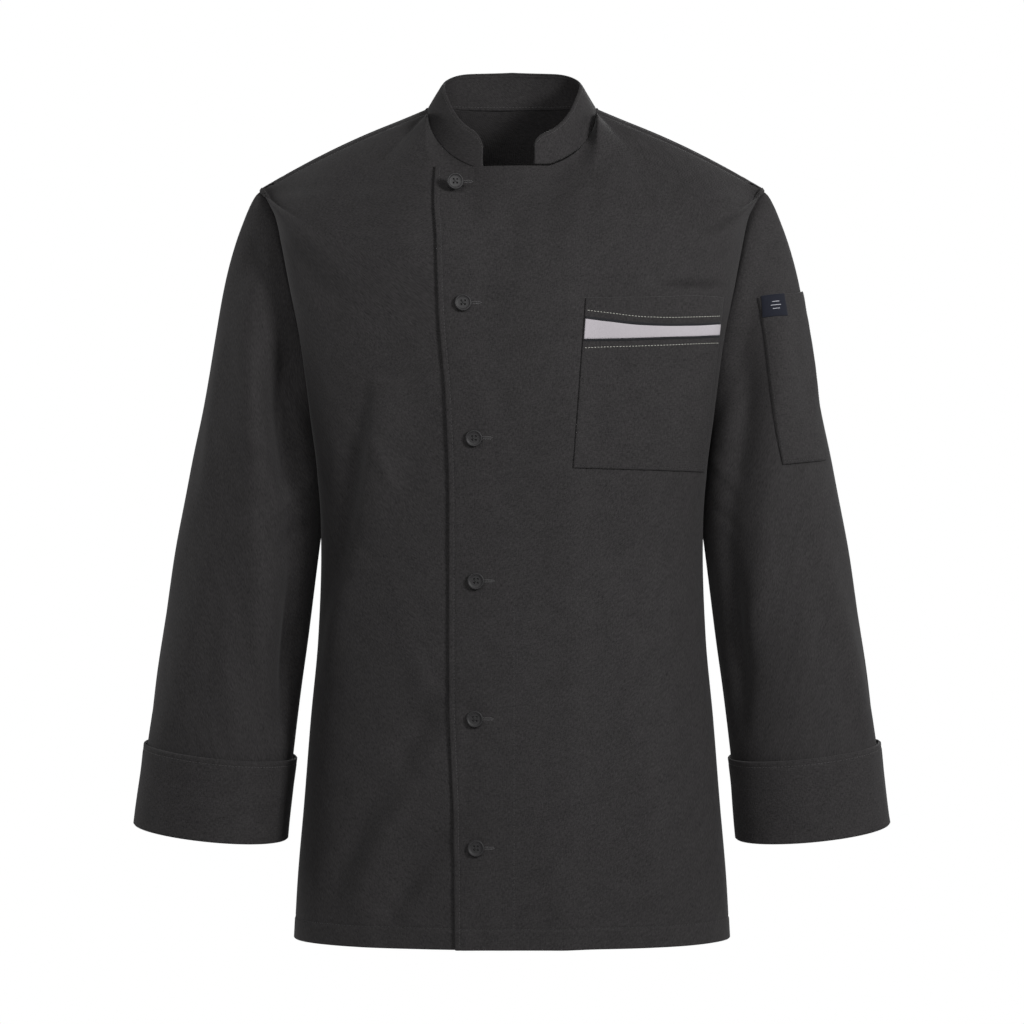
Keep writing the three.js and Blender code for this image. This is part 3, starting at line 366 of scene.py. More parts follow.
def back_point(t, roll, v, hand):
    """A point of the back, as on the left: t is the angle across, 0 at the centre and 90 at
    the widest; roll goes on from there round the edge to the seam; v is the row."""
    seam = border(v, 1)
    seam_x, seam_y, seam_z = seam[..., 0], seam[..., 1], seam[..., 2]
    side_x = np.where(v <= 1, seam_x, read(sections, "z", "half", seam_z))
    side_z = np.where(v <= 1, read(shoulder_line, "x", "ridge", seam_x), seam_z)
    angle = np.radians(t)
    z = mix(read(row_centres, "v", "back", v), side_z, (1 - np.cos(angle)) ** NECK_CURVE)
    x = np.minimum(side_x, read(sections, "z", "half", z)) * np.sin(angle)
    turned = smooth((t - ROLL_FROM) / (90 - ROLL_FROM))
    push = np.maximum(0, EDGE_ROLL * seam_y - back_depth(side_x, side_z, hand))
    y = back_depth(x, z, hand) + turned * push
    rolled = roll > 0
    x = np.where(rolled, mix(side_x, seam_x, np.sin(roll * math.pi / 2)), x)
    z = np.where(rolled, mix(side_z, seam_z, roll**2), z)
    return points(x, np.where(rolled, mix(y, seam_y, roll), y), z)


def panel_rows():
    """Rows of a body panel, closer at the neck, round the armhole and at the hem."""
    hem_start = 3 - HEM_ZONE / (UNDERARM_Z - HEM_Z)
    shoulder, arm, side, hem = ROW_COUNTS
    return np.concatenate([
        np.linspace(0, 1, shoulder)[:-1] ** NECK_CROWD,
        np.linspace(1, 2, arm)[:-1],
        np.linspace(2, hem_start, side)[:-1],
        np.linspace(hem_start, 3, hem),
    ])


def grid_normals(grid, closed=False):
    """Unit normals of a grid of points: its run down the rows crossed with its run across."""
    padded = np.pad(grid, ((0, 0), (1, 1), (0, 0)), mode="wrap" if closed else "edge")
    across = padded[:, 2:] - padded[:, :-2]
    padded = np.pad(grid, ((1, 1), (0, 0), (0, 0)), mode="edge")
    down = padded[2:] - padded[:-2]
    return unit(np.cross(down, across))


def arc_length(grid, axis):
    """Length along the cloth from the first row or column, in millimetres."""
    steps = np.linalg.norm(np.diff(grid, axis=axis), axis=-1)
    return np.insert(np.cumsum(steps, axis=axis), 0, 0, axis=axis)


def put_mesh(name, vertices, faces, material, uv=None):
    """A mesh object from points in millimetres; uv gives a pair of metres for each corner."""
    mesh = bpy.data.meshes.new(name)
    mesh.from_pydata((np.asarray(vertices) * MM).tolist(), [], faces)
    if uv is not None:
        layer = mesh.uv_layers.new(name="weave")
        layer.uv.foreach_set("vector", (uv * MM).astype(np.float32).ravel())
    mesh.polygons.foreach_set("use_smooth", np.ones(len(mesh.polygons), bool))
    mesh.materials.append(material)
    mesh.update()
    piece = bpy.data.objects.new(name, mesh)
    bpy.context.scene.collection.objects.link(piece)
    return piece


def shell(name, outer, normals, wall, material, closed=False):
    """Cloth wall: the outer grid, the same grid moved in along its normals by the wall, and
    between their borders a rounded edge, whose middle stands out by half the wall. A closed
    grid joins its last column to its first and has an edge at its first and last rows."""
    rows, count = outer.shape[:2]
    inner = outer - normals * wall
    ring = np.concatenate([outer, outer[:, :1]], axis=1) if closed else outer
    uv = np.stack([arc_length(ring, 1), arc_length(ring, 0)], axis=-1)
    spans = count if closed else count - 1
    i, j = np.meshgrid(np.arange(rows - 1), np.arange(spans), indexing="ij")
    corners_i = np.stack([i, i + 1, i + 1, i], axis=-1).reshape(-1, 4)
    corners_j = np.stack([j, j, j + 1, j + 1], axis=-1).reshape(-1, 4)
    size = rows * count
    front = corners_i * count + corners_j % count
    faces = [front, size + front[:, ::-1]]
    corner_uv = [uv[corners_i, corners_j], uv[corners_i, corners_j][:, ::-1]]
    extra = []
    first, last = np.zeros(spans + 1, int), np.full(spans + 1, rows - 1)
    walk = np.arange(spans + 1)
    if closed:
        loops = [(first, walk), (last, walk[::-1])]
    else:
        down = np.arange(rows)
        loop_i = np.concatenate([first[:-1], down[:-1], last[:-1], down[:0:-1], [0]])
        near, far = np.zeros(rows - 1, int), np.full(rows - 1, spans)
        loop_j = np.concatenate([walk[:-1], far, walk[:0:-1], near, [0]])
        loops = [(loop_i, loop_j)]
    beyond = np.pad(outer, ((1, 1), (1, 1), (0, 0)), mode="wrap" if closed else "edge")
    beyond[0, 1:-1] = 2 * outer[0] - outer[1]
    beyond[-1, 1:-1] = 2 * outer[-1] - outer[-2]
    if not closed:
        beyond[1:-1, 0] = 2 * outer[:, 0] - outer[:, 1]
        beyond[1:-1, -1] = 2 * outer[:, -1] - outer[:, -2]
    for loop_i, loop_j in loops:
        a, b = loop_i[:-1], loop_j[:-1] % count
        step_i = np.where(a == 0, 0, np.where(a == rows - 1, 2, 1))
        out = unit(beyond[a + step_i, b + 1] - outer[a, b])
        if not closed:
            step_j = np.where(b == 0, 0, np.where(b == count - 1, 2, 1))
            sideways = unit(beyond[a + 1, b + step_j] - outer[a, b])
            out = unit(out * (step_i != 1)[:, None] + sideways * (step_j != 1)[:, None])
        start = 2 * size + sum(len(part) for part in extra)
        extra.append((outer[a, b] + inner[a, b]) / 2 + out * wall / 2)
        here, there = np.arange(len(a)), np.roll(np.arange(len(a)), -1)
        edge = a * count + b
        faces.append(np.stack([edge, edge[there], start + there, start + here], axis=-1))
        faces.append(np.stack([start + here, start + there, size + edge[there], size + edge], axis=-1))
        ends = np.stack([uv[loop_i[:-1], loop_j[:-1]], uv[loop_i[1:], loop_j[1:]]], axis=1)
        corner_uv += [ends[:, [0, 1, 1, 0]], ends[:, [0, 1, 1, 0]]]
    vertices = np.concatenate([outer.reshape(-1, 3), inner.reshape(-1, 3)] + extra)
    return put_mesh(name, vertices, np.concatenate(faces).tolist(), material, np.concatenate(corner_uv))


# The twill: threads in each metre of its weave map, the slant of its ribs in degrees, the
# shares in which its layers are blended, and the range of the blend that is used.
CHARCOAL = (0.0285, 0.0266, 0.0273)
WARP_THREADS = (850, 330, 1)
WEFT_THREADS = (330, 850, 1)
RIB_SCALE = 330.0
RIB_SLANT = 58
CLOUD_SCALE = 60.0
WEFT_SHARE = 0.45
RIB_SHARE = 0.1
CLOUD_SHARE = 0.2
GRAIN_RANGE = (0.3, 0.7)
BUMP_STRENGTH = 0.5
CLOTH_SHINE = dict(Roughness=0.82, Specular_IOR_Level=0.22, Sheen_Weight=0.08, Sheen_Roughness=0.45)


def woven(name, colour, depth, contrast):
    """Twill cloth: slubs in both directions of the piece's own weave map, faint diagonal
    ribs and a cloudy change of tone. Threads and ribs make the bump, and all three the
    colour, which is scaled from 1 - contrast to 1 + contrast."""
    material = paint(name, **CLOTH_SHINE)
    nodes, links = material.node_tree.nodes, material.node_tree.links
    shader = nodes["Principled BSDF"]
    weave_map = nodes.new("ShaderNodeUVMap")
    weave_map.uv_map = "weave"

    def layer(kind, stretch=(1, 1, 1), turn=0.0, **values):
        """One texture on the weave map, which is stretched and turned."""
        place = set_sockets(nodes.new("ShaderNodeMapping"), Scale=stretch, Rotation=(0, 0, turn))
        links.new(weave_map.outputs["UV"], place.inputs["Vector"])
        texture = set_sockets(nodes.new(kind), **values)
        links.new(place.outputs["Vector"], texture.inputs["Vector"])
        return texture.outputs["Fac"]

    def blend(first, second, share):
        """Two layers mixed, the second by its share."""
        node = set_sockets(nodes.new("ShaderNodeMix"), Factor=share)
        links.new(first, node.inputs["A"])
        links.new(second, node.inputs["B"])
        return node.outputs["Result"]

    slant = math.radians(RIB_SLANT)
    ribs = layer("ShaderNodeTexWave", turn=slant, Scale=RIB_SCALE, Distortion=0.6, Detail=1.0)
    warp = layer("ShaderNodeTexNoise", WARP_THREADS, Scale=1.0, Detail=3.0)
    weft = layer("ShaderNodeTexNoise", WEFT_THREADS, Scale=1.0, Detail=3.0)
    cloud = layer("ShaderNodeTexNoise", Scale=CLOUD_SCALE, Detail=6.0, Roughness=0.75)
    threads = blend(warp, weft, WEFT_SHARE)
    grain = blend(threads, ribs, RIB_SHARE)
    tone = blend(grain, cloud, CLOUD_SHARE)
    ramp = nodes.new("ShaderNodeMapRange")
    low, high = GRAIN_RANGE
    set_sockets(ramp, From_Min=low, From_Max=high, To_Min=1 - contrast, To_Max=1 + contrast)
    links.new(tone, ramp.inputs["Value"])
    tint = nodes.new("ShaderNodeVectorMath")
    tint.operation = "SCALE"
    tint.inputs[0].default_value = colour
    links.new(ramp.outputs["Result"], tint.inputs["Scale"])
    links.new(tint.outputs["Vector"], shader.inputs["Base Color"])
    bump = set_sockets(nodes.new("ShaderNodeBump"), Strength=BUMP_STRENGTH, Distance=depth)
    links.new(grain, bump.inputs["Height"])
    links.new(bump.outputs["Normal"], shader.inputs["Normal"])
    return material


charcoal_twill = woven("charcoal_twill", CHARCOAL, depth=0.00025, contrast=0.75)
ROWS = panel_rows()
# Seams and hems, in millimetres. Waves are given by length over two pi, phase and height.
SEAM_FREE = 3
PUCKER_DEPTH = 0.6
PUCKER_WIDTH = 7
PUCKER_LEVEL = 0.55
PUCKER_WAVES = ((2.3, 0, 0.3), (4.1, 1.3, 0.25))
SEAM_PULL_WIDTH = 1.6
SEAM_GROOVE = 1.5
GROOVE_WIDTH = 2.4
GROOVE_STARTS = 0.3
TIP_FADE = 0.85
TIP_WIDTH = 0.06
THREAD_PULL = 0.35
THREAD_PULL_WIDTH = 1.2
HEM_RISE = 0.5
HEM_STEP = 1.6


def bell(distance, width):
    """Bell curve: 1 in the middle and 1/e at the width."""
    return np.exp(-(distance / width) ** 2)


def ripple(along, waves):
    """Sum of small waves along one way."""
    return sum(height * np.sin(along / length + phase) for length, phase, height in waves)


def seam_pucker(distance, along):
    """Cloth drawn in at a seam: a shallow groove that swells unevenly along its length."""
    wide = PUCKER_DEPTH * (PUCKER_LEVEL + ripple(along, PUCKER_WAVES)) * bell(distance, PUCKER_WIDTH)
    return (-wide - THREAD_PULL * bell(distance, SEAM_PULL_WIDTH)) * smooth(distance / SEAM_FREE)


def seam_groove(distance, v):
    """The line of the seam itself, sunk evenly in both pieces, fading out at the neck and
    at the shoulder's tip, where three pieces meet. v is as for the border."""
    tip = 1 - TIP_FADE * bell(v - 1, TIP_WIDTH)
    return -SEAM_GROOVE * bell(distance, GROOVE_WIDTH) * smooth(v / GROOVE_STARTS) * tip


def hem_fold(z):
    """The hem is turned up and sewn: cloth is thicker below the sewing and drawn in at it."""
    above = z - (HEM_Z + HEM_STITCH)
    return HEM_RISE * smooth(-above / HEM_STEP) - THREAD_PULL * bell(above, THREAD_PULL_WIDTH)


def fit(piece, node):
    """The piece rides on the one rigid body and takes its CAD node's place."""
    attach(piece, "root")
    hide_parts(node)


def back_panel():
    """The back's grid and normals: its left half, then its right half mirrored."""
    v = ROWS[:, None]
    u = np.linspace(0, 1, BACK_COLUMNS)[None, :]
    t = 90 * np.minimum(u / BACK_FLAT, 1)
    roll = np.clip((u - BACK_FLAT) / (1 - BACK_FLAT), 0, 1)
    right = back_point(t, roll, v, -1)[:, 1:] * (-1, 1, 1)
    grid = np.concatenate([back_point(t, roll, v, 1)[:, ::-1], right], axis=1)
    normals = grid_normals(grid)
    edge_normals = border_normal(ROWS, 1)
    normals[:, 0] = edge_normals
    normals[:, -1] = edge_normals * (-1, 1, 1)
    clear = ((ROWS < 1) | (ROWS >= 2)) * SHOULDER_GAP
    grid[:, 0, 1] += clear
    grid[:, -1, 1] += clear
    reach = arc_length(grid, 1)
    from_seam = np.minimum(reach, reach[:, -1:] - reach)
    rise = seam_pucker(from_seam, arc_length(grid, 0)) + seam_groove(from_seam, v)
    rise = rise + hem_fold(grid[..., 2]) * smooth(from_seam / SEAM_FREE)
    return grid + normals * rise[..., None], normals


back_outer, back_normals = back_panel()
back = shell("back_cloth", back_outer, back_normals, CLOTH_WALL, charcoal_twill)
fit(back, "back")

# Front panels: two pieces of the same twill, each turned back into a facing at its free
# edge. The wearer's left one lies on top; its free edge runs down right of the centre, and
# a row of sewing a little way in holds the fold flat.
UNDER_EDGE_X = 40
LAYER_LIFT = 3.6
LIFT_FROM = 48
LIFT_RUN = 32
FRONT_ROUND = 2
ROLL_START = 0.85
ROLL_RUN = 0.3
ROLL_COLUMNS = 2 / 13
FRONT_COLUMNS = 118
EDGE_COLUMNS = (0, 0.4, 0.9, 1.6, 2.3, 3.0, 3.5, 3.8, 4.1, 4.5, 5.2, 6.6, 9)
EDGE_SEWING = 4
EDGE_PULL = 0.3
EDGE_PULL_WIDTH = 1.1
EDGE_WAVES = ((3.1, 0, 0.12),)
EDGE_WAVES_WIDTH = 9
placket_edge = columns("z x", [
    (-60, -71.2), (-95, -71.1), (-130, -68.5), (-205, -65.4), (-280, -59.1),
    (-370, -56.4), (-515, -56.3), (-605, -54.5), (-686, -51.8), (-779, -50.9),
])
front_folds = columns(FOLD_COLUMNS, [
    (-124, -262, -150, -430, -5, 6, 4, 4.6),
    (-148, -420, -178, -530, 2, 6, 3.6, 4.6),
    (-138, -280, -166, -440, -4, 13, 1, -3.4),
    (-62, -545, -100, -620, 5, 16, 1, -4.4),
    (-100, -620, -164, -745, 6, 15, 1, -5.2),
    (-76, -612, -150, -742, 7, 13, 0.9, 4.8),
    (-55, -668, -118, -765, 6, 13, 1, -4.8),
    (138, -175.5, 194, -174, 1, 5.5, 1, -2.4),
    (-196, -150, -155, -190, 3, 13, 1, -2.2),
    (95, -380, 92, -440, 3, 26, 1, -2),
    (166, -480, 180, -740, 4, 15, 1, -3),
    (120, -560, 132, -760, -4, 20, 1, 2.2),
    (-150, -300, -110, -355, -6, 8, 0.7, 1.1),
    (-168, -560, -120, -520, 6, 11, 1, 1.2),
    (-92, -500, -70, -560, 3, 12, 1, 1.1),
    (-36, -560, -44, -700, 2, 10, 1, -0.8),
    (150, -470, 112, -520, -5, 10, 0.8, 1.2),
    (62, -470, 52, -640, -4, 15, 1, 1.0),
    (40, -700, 46, -770, 1, 10, 1, 0.9),
    (-24, -120, -14, -260, 3, 18, 1, -0.9),
    (86, -70, 110, -150, -6, 18, 1, -0.8),
])


def front_depth(x, z, hand=1):
    """Depth of the front at (x, z): from the neck and shoulder seams it swells out to the
    chest, with the folds added where the panel isn't at its edge. hand is as for the back."""
    across = np.minimum(np.abs(x) / NECK_HALF, 1)
    neck_z = read(neck_line, "angle", "z", np.degrees(np.arcsin(across)))
    top_z = np.where(np.abs(x) < NECK_HALF, neck_z, read(shoulder_line, "x", "seam", np.abs(x)))
    below = np.maximum(0, top_z - z)
    top_y = -NECK_FRONT * neck_bulge(x, below)
    from_z = mix(top_z, read(soft_shoulder, "x", "front", np.abs(x)), smooth(below / SOFTEN))
    half = read(sections, "z", "half", z)
    chest = swell(half, -read(sections, "z", "front", z), -read(sections, "z", "front_side", z), x)
    ease = mix(FRONT_EASE, TIP_EASE, smooth((np.abs(x) - TIP_FROM) / TIP_RUN))
    out = 1 - (1 - np.clip((from_z - z) / ease, 0, 1)) ** FRONT_ROUND
    fade = smooth((half - np.abs(x)) / FOLD_MARGIN) * smooth(below / FOLD_BELOW)
    folds = fold_rise(front_folds, hand * x, z) + sway(hand * x, z, 0)
    return top_y + (chest - top_y) * out - folds * fade


def front_point(t, roll, v, hand):
    """A point of the front, by the same three numbers as the back's."""
    seam = border(v, -1)
    seam_x, seam_y, seam_z = seam[..., 0], seam[..., 1], seam[..., 2]
    side_x = np.where(v <= 1, seam_x, read(sections, "z", "half", seam_z))
    climb = (read(neck_line, "angle", "z", t) - NECK_FRONT_Z) / (NECK_SIDE_Z - NECK_FRONT_Z)
    z = mix(read(row_centres, "v", "front", v), seam_z, np.where(t > 0, climb, 0))
    x = np.minimum(side_x, read(sections, "z", "half", z)) * np.sin(np.radians(t))
    turned = smooth((t - ROLL_FROM) / (90 - ROLL_FROM))
    push = np.minimum(0, EDGE_ROLL * seam_y - front_depth(side_x, seam_z, hand))
    y = front_depth(x, z, hand) + turned * push
    rolled = roll > 0
    x = np.where(rolled, mix(side_x, seam_x, np.sin(roll * math.pi / 2)), x)
    return points(x, np.where(rolled, mix(y, seam_y, roll), y), z)


def top_lift(x):
    """How far the top front stands out: over a fold of cloth, and back to the body beyond."""
    return LAYER_LIFT * (1 - smooth((x - LIFT_FROM) / LIFT_RUN))


def front_panel(edge_x, lift_at, hand):
    """A front's grid and normals, as on the left: close columns along the free edge, then
    even ones to the side, which roll round it into the seam."""
    v = ROWS[:, None]
    seam = border(v, -1)
    side_x = np.where(v <= 1, seam[..., 0], read(sections, "z", "half", seam[..., 2]))
    centre_z = read(row_centres, "v", "front", v)
    near = np.array(EDGE_COLUMNS)[None, :]
    half = np.minimum(side_x, read(sections, "z", "half", centre_z))
    near_t = -np.degrees(np.arcsin(np.clip((edge_x(centre_z) - near) / half, -1, 1)))
    rolled = smooth((v - ROLL_START) / ROLL_RUN)
    flat = 1 - ROLL_COLUMNS * rolled
    u = np.linspace(0, 1, FRONT_COLUMNS)[None, 1:]
    rest_t = mix(near_t[:, -1:], 90, np.minimum(u / flat, 1))
    roll = np.where(rolled > 0, np.clip((u - flat) / np.maximum(1 - flat, 1e-9), 0, 1), 0)
    t = np.concatenate([near_t, rest_t], axis=1)
    roll = np.concatenate([np.zeros_like(near_t), roll], axis=1)
    grid = front_point(t, roll, v, hand)
    normals = grid_normals(grid)
    normals[:, -1] = border_normal(ROWS, -1)
    reach = arc_length(grid, 1)
    from_seam = reach[:, -1:] - reach
    down = arc_length(grid, 0)
    rise = seam_pucker(from_seam, down) + seam_groove(from_seam, v) + hem_fold(grid[..., 2])
    rise -= EDGE_PULL * bell(reach - EDGE_SEWING, EDGE_PULL_WIDTH)
    rise -= ripple(down, EDGE_WAVES) * bell(reach, EDGE_WAVES_WIDTH)
    rise += lift_at(grid[..., 0])
    grid = grid + normals * rise[..., None]
    grid[ROWS <= 1, -1, 1] = np.minimum(grid[ROWS <= 1, -1, 1], 0)
    return grid, normals


def mirrored(grid, normals):
    """A left grid and its normals taken over to the right, turned so that it faces out."""
    return grid[:, ::-1] * (-1, 1, 1), normals[:, ::-1] * (-1, 1, 1)


top_outer, top_normals = front_panel(lambda z: -read(placket_edge, "z", "x", z), top_lift, 1)
under_outer, under_normals = front_panel(lambda z: UNDER_EDGE_X + 0 * z, lambda x: 0 * x, -1)
under_outer, under_normals = mirrored(under_outer, under_normals)
front_left = shell("front_left_cloth", top_outer, top_normals, CLOTH_WALL, charcoal_twill)
front_right = shell("front_right_cloth", under_outer, under_normals, CLOTH_WALL, charcoal_twill)
for piece, node in ((front_left, "front_left"), (front_right, "front_right")):
    fit(piece, node)

# Sleeves: one piece each, set into the armhole with a little ease over the shoulder and
# hanging a little forward, with soft folds inside the elbow and down the arm.
SEAM_GAP = 0.35
SLEEVE_FOOT = -678
CUFF_TOP = -605
CUFF_DIP = 4.5
DIP_FROM = -420
DIP_RUN = 160
SLEEVE_TILT = 0.105
SLEEVE_COLUMNS = 155
CAP_ROWS = 60
CAP_CROWD = 1.4
ARM_ROWS = 96
SLEEVE_PHASE = 4
SLEEVE_SWAY = 0.8
FOLD_PER_DEGREE = 1.15
FOLDS_FROM_SEAM = 0.3
FOLDS_FROM_CUFF = 34
EASE_FOLDS = 9.3
EASE_RISE = 0.5
EASE_ENDS = 26
EASE_STARTS = 6
CAP_RISE = 5
CAP_UP = 9
CAP_LEVEL = 12
CAP_DOWN = 28
sleeve_sections = columns("z outer inner front back", [
    (-310, 296, 175.5, 64, 62),
    (-345, 303, 175, 64, 60),
    (-406, 314.3, 181.7, 62, 56),
    (-463, 323, 189.3, 61, 52),
    (-520, 331.6, 196.8, 60, 48),
    (-560, 337.4, 201.5, 60, 46),
    (-606, 344.2, 207, 60, 44),
    (-650, 350.4, 211, 60, 44),
    (-684, 355.2, 214, 60, 44),
])
# How the sleeve leaves the armhole, from the shoulder (0) to the underarm (180)
sleeve_start = columns("angle out forward down reach", [
    (0, 0.62, 0, 0.78, 0.6),
    (45, 0.78, 0.2, 0.6, 0.7),
    (90, 0.85, 0.2, 0.5, 0.8),
    (140, 0.6, 0.1, 0.8, 0.8),
    (180, 0.12, 0, 0.99, 0.7),
])
left_sleeve_folds = columns(FOLD_COLUMNS, [
    (62, -170, 100, -400, 6, 17, 1, 4),
    (100, -400, 128, -500, 4, 15, 1, 3.5),
    (96, -205, 136, -410, 5, 14, 0.8, -3.6),
    (136, -410, 150, -590, 4, 14, 1, -4.2),
    (52, -400, 30, -590, -5, 17, 0.8, 3),
    (240, -330, 290, -400, 5, 18, 1, -4),
    (230, -420, 300, -470, 5, 17, 1, -3.5),
    (250, -480, 290, -590, -4, 18, 1, 3.5),
    (20, -205, 44, -300, 3, 9, 0.8, 1.3),
    (70, -440, 96, -560, 4, 12, 1, 1.4),
    (44, -470, 62, -600, 3, 9, 0.8, -1.2),
    (150, -330, 118, -366, 5, 8, 0.7, 0.7),
    (158, -372, 122, -404, 5, 7, 0.7, -0.6),
    (200, -330, 248, -384, 5, 8, 0.7, 1.6),
    (190, -400, 238, -440, 5, 8, 0.7, 1.3),
    (330, -420, 300, -560, 6, 14, 1, 1.2),
])
right_sleeve_folds = columns(FOLD_COLUMNS, [
    (58, -175, 96, -395, -7, 16, 1, 4.2),
    (96, -395, 120, -540, -4, 15, 1, 3.6),
    (104, -215, 136, -405, 4, 17, 0.7, -9.5),
    (136, -405, 152, -585, -4, 17, 0.8, -8),
    (60, -410, 46, -590, -4, 18, 0.8, 2.2),
    (240, -330, 290, -400, 5, 18, 1, -4),
    (234, -412, 298, -476, -5, 17, 1, -3.5),
    (254, -470, 286, -592, 4, 18, 1, 3.5),
    (76, -300, 112, -330, 4, 8, 0.7, 1.2),
    (34, -230, 52, -380, 4, 12, 1, 1.2),
    (84, -470, 108, -600, 4, 11, 1, 1.2),
    (150, -340, 108, -384, -5, 8, 0.7, 1.5),
    (156, -392, 116, -424, 5, 7, 0.7, -1.3),
    (196, -336, 246, -378, -5, 8, 0.7, 1.5),
    (328, -300, 306, -460, 6, 14, 1, 1.3),
])


def sleeve_section(angle, z):
    """Section of the sleeve: a half ellipse in front and another behind. angle is 0 at the
    outer edge, 90 in front and 180 next to the body; the section leans and dips in front."""
    turn = np.radians(angle)
    outer = read(sleeve_sections, "z", "outer", z)
    inner = read(sleeve_sections, "z", "inner", z)
    front, behind = read(sleeve_sections, "z", "front", z), read(sleeve_sections, "z", "back", z)
    depth = np.where(np.sin(turn) > 0, front, behind)
    half = (outer - inner) / 2
    dip = CUFF_DIP * np.sin(turn) * smooth((DIP_FROM - z) / DIP_RUN)
    x = (outer + inner) / 2 + half * np.cos(turn)
    return points(x, -depth * np.sin(turn), z + half * SLEEVE_TILT * np.cos(turn) - dip)


def half_turn(angle):
    """The angle from 0 either way round, at most 180 degrees."""
    return np.where(angle <= 180, angle, 360 - angle)


def armhole(angle):
    """Armhole seam by the same angle, a seam's gap out from the body, and its normal. The
    way along the seam is read between two places a small step before and after."""
    front = angle <= 180
    v = 1 + half_turn(angle) / 180
    step = 0.02
    near, far = np.clip(v - step, 1, 2), np.clip(v + step, 1, 2)
    front = front[..., None]
    seam = np.where(front, border(v, -1), border(v, 1))
    normal = np.where(front, border_normal(v, -1), border_normal(v, 1))
    along = np.where(front, border(far, -1) - border(near, -1), border(far, 1) - border(near, 1))
    away = unit(np.cross(along, normal))
    away *= np.where(away[..., :1] < 0, -1, 1)
    return seam + away * SEAM_GAP, normal


def sleeve_point(angle, q):
    """A point of the sleeve: q runs 0 to 1 down the cap, a cubic from the armhole to the
    first section with set directions at both ends, and 1 to 2 down the arm."""
    first, step = sleeve_sections["z"][0], 10
    start = armhole(angle)[0]
    end = sleeve_section(angle, first)
    arm = sleeve_section(angle, mix(first, SLEEVE_FOOT, np.clip(q - 1, 0, 1)))
    chord = np.linalg.norm(end - start, axis=-1, keepdims=True)
    side = half_turn(angle)
    facing = np.where(angle <= 180, -1, 1)
    out = read(sleeve_start, "angle", "out", side)
    down = read(sleeve_start, "angle", "down", side)
    leave = unit(points(out, facing * read(sleeve_start, "angle", "forward", side), -down))
    leave = leave * chord * read(sleeve_start, "angle", "reach", side)[..., None]
    arrive = unit(sleeve_section(angle, first - step) - end) * chord
    p = np.clip(q, 0, 1)[..., None]
    cap = start * (2 * p**3 - 3 * p**2 + 1) + leave * (p**3 - 2 * p**2 + p)
    cap = cap + end * (3 * p**2 - 2 * p**3) + arrive * (p**3 - p**2)
    return np.where(np.asarray(q)[..., None] >= 1, arm, cap)


def sleeve_surface(angle, q, folds):
    """The sleeve with its folds, moved out along its normals, and those normals, which come
    from small steps both ways on the bare sleeve."""
    def at(a, b):
        """The bare sleeve, with its angle taken round and its rows kept within it."""
        return sleeve_point(np.mod(a, 360), np.clip(b, 0, 2))

    base = at(angle, q)
    step_q, step_angle = 0.004, 0.4
    down = at(angle, q + step_q) - at(angle, q - step_q)
    across = at(angle - step_angle, q) - at(angle + step_angle, q)
    normals = unit(np.cross(down, across))
    z = base[..., 2]
    fade = smooth(q / FOLDS_FROM_SEAM) * np.where(q >= 1, smooth((z - CUFF_TOP) / FOLDS_FROM_CUFF), 1)
    rise = SLEEVE_SWAY * sway(angle * FOLD_PER_DEGREE, z, SLEEVE_PHASE)
    for turn in (angle, angle - 360):
        rise = rise + fold_rise(folds, turn, z, FOLD_PER_DEGREE)
    return base + normals * (rise * fade)[..., None], normals


def sleeve_grid(folds):
    """A left sleeve's grid and normals: rings close at the armhole, then even ones. Below
    the seam come small gathers over the shoulder and the cap's fullness in front and behind."""
    angle = 360 - np.linspace(0, 360, SLEEVE_COLUMNS)[None, :-1]
    cap_q, arm_q = np.linspace(0, 1, CAP_ROWS)[:-1] ** CAP_CROWD, np.linspace(1, 2, ARM_ROWS)
    q = np.concatenate([cap_q, arm_q])[:, None]
    grid = sleeve_surface(angle, q, folds)[0]
    normals = grid_normals(grid, closed=True)
    normals[0] = armhole(angle[0])[1]
    from_seam = arc_length(grid, 0)
    turn = np.radians(angle)
    near_seam = smooth(1 - from_seam / EASE_ENDS) * smooth(from_seam / EASE_STARTS)
    gathers = np.sin(EASE_FOLDS * turn) * near_seam
    shoulder = 0.5 + 0.5 * np.cos(turn)
    rise = seam_pucker(from_seam, arc_length(grid, 1)) + EASE_RISE * gathers * shoulder
    rise = rise + seam_groove(from_seam, 1 + half_turn(angle) / 180)
    cap = smooth(from_seam / CAP_UP) * (1 - smooth((from_seam - CAP_LEVEL) / CAP_DOWN))
    rise = rise + CAP_RISE * np.abs(np.sin(turn)) * cap
    return grid + normals * rise[..., None], normals


sleeve_left = sleeve_grid(left_sleeve_folds)
sleeve_right = mirrored(*sleeve_grid(right_sleeve_folds))
for node, surface in (("sleeve_left", sleeve_left), ("sleeve_right", sleeve_right)):
    piece = shell(f"{node}_cloth", *surface, CLOTH_WALL, charcoal_twill, closed=True)
    fit(piece, node)

# Cuffs: the end of each sleeve, doubled and turned back on itself, with a row of sewing
# under its free edge, which stands a little off the sleeve.
CUFF_FOOT = -679.8
CUFF_WALL = 2.2
CUFF_CLEAR = 0.5
CUFF_FLARE = 0.8
FLARE_ENDS = 0.4
CUFF_SEWING = 4.3
CUFF_COLUMNS = 181
CUFF_ROWS = 57
EDGE_WAVE_ENDS = 0.7
WAVE_FLOOR = -0.5
PULL_WAVES = ((2.6, 0, 0.35),)


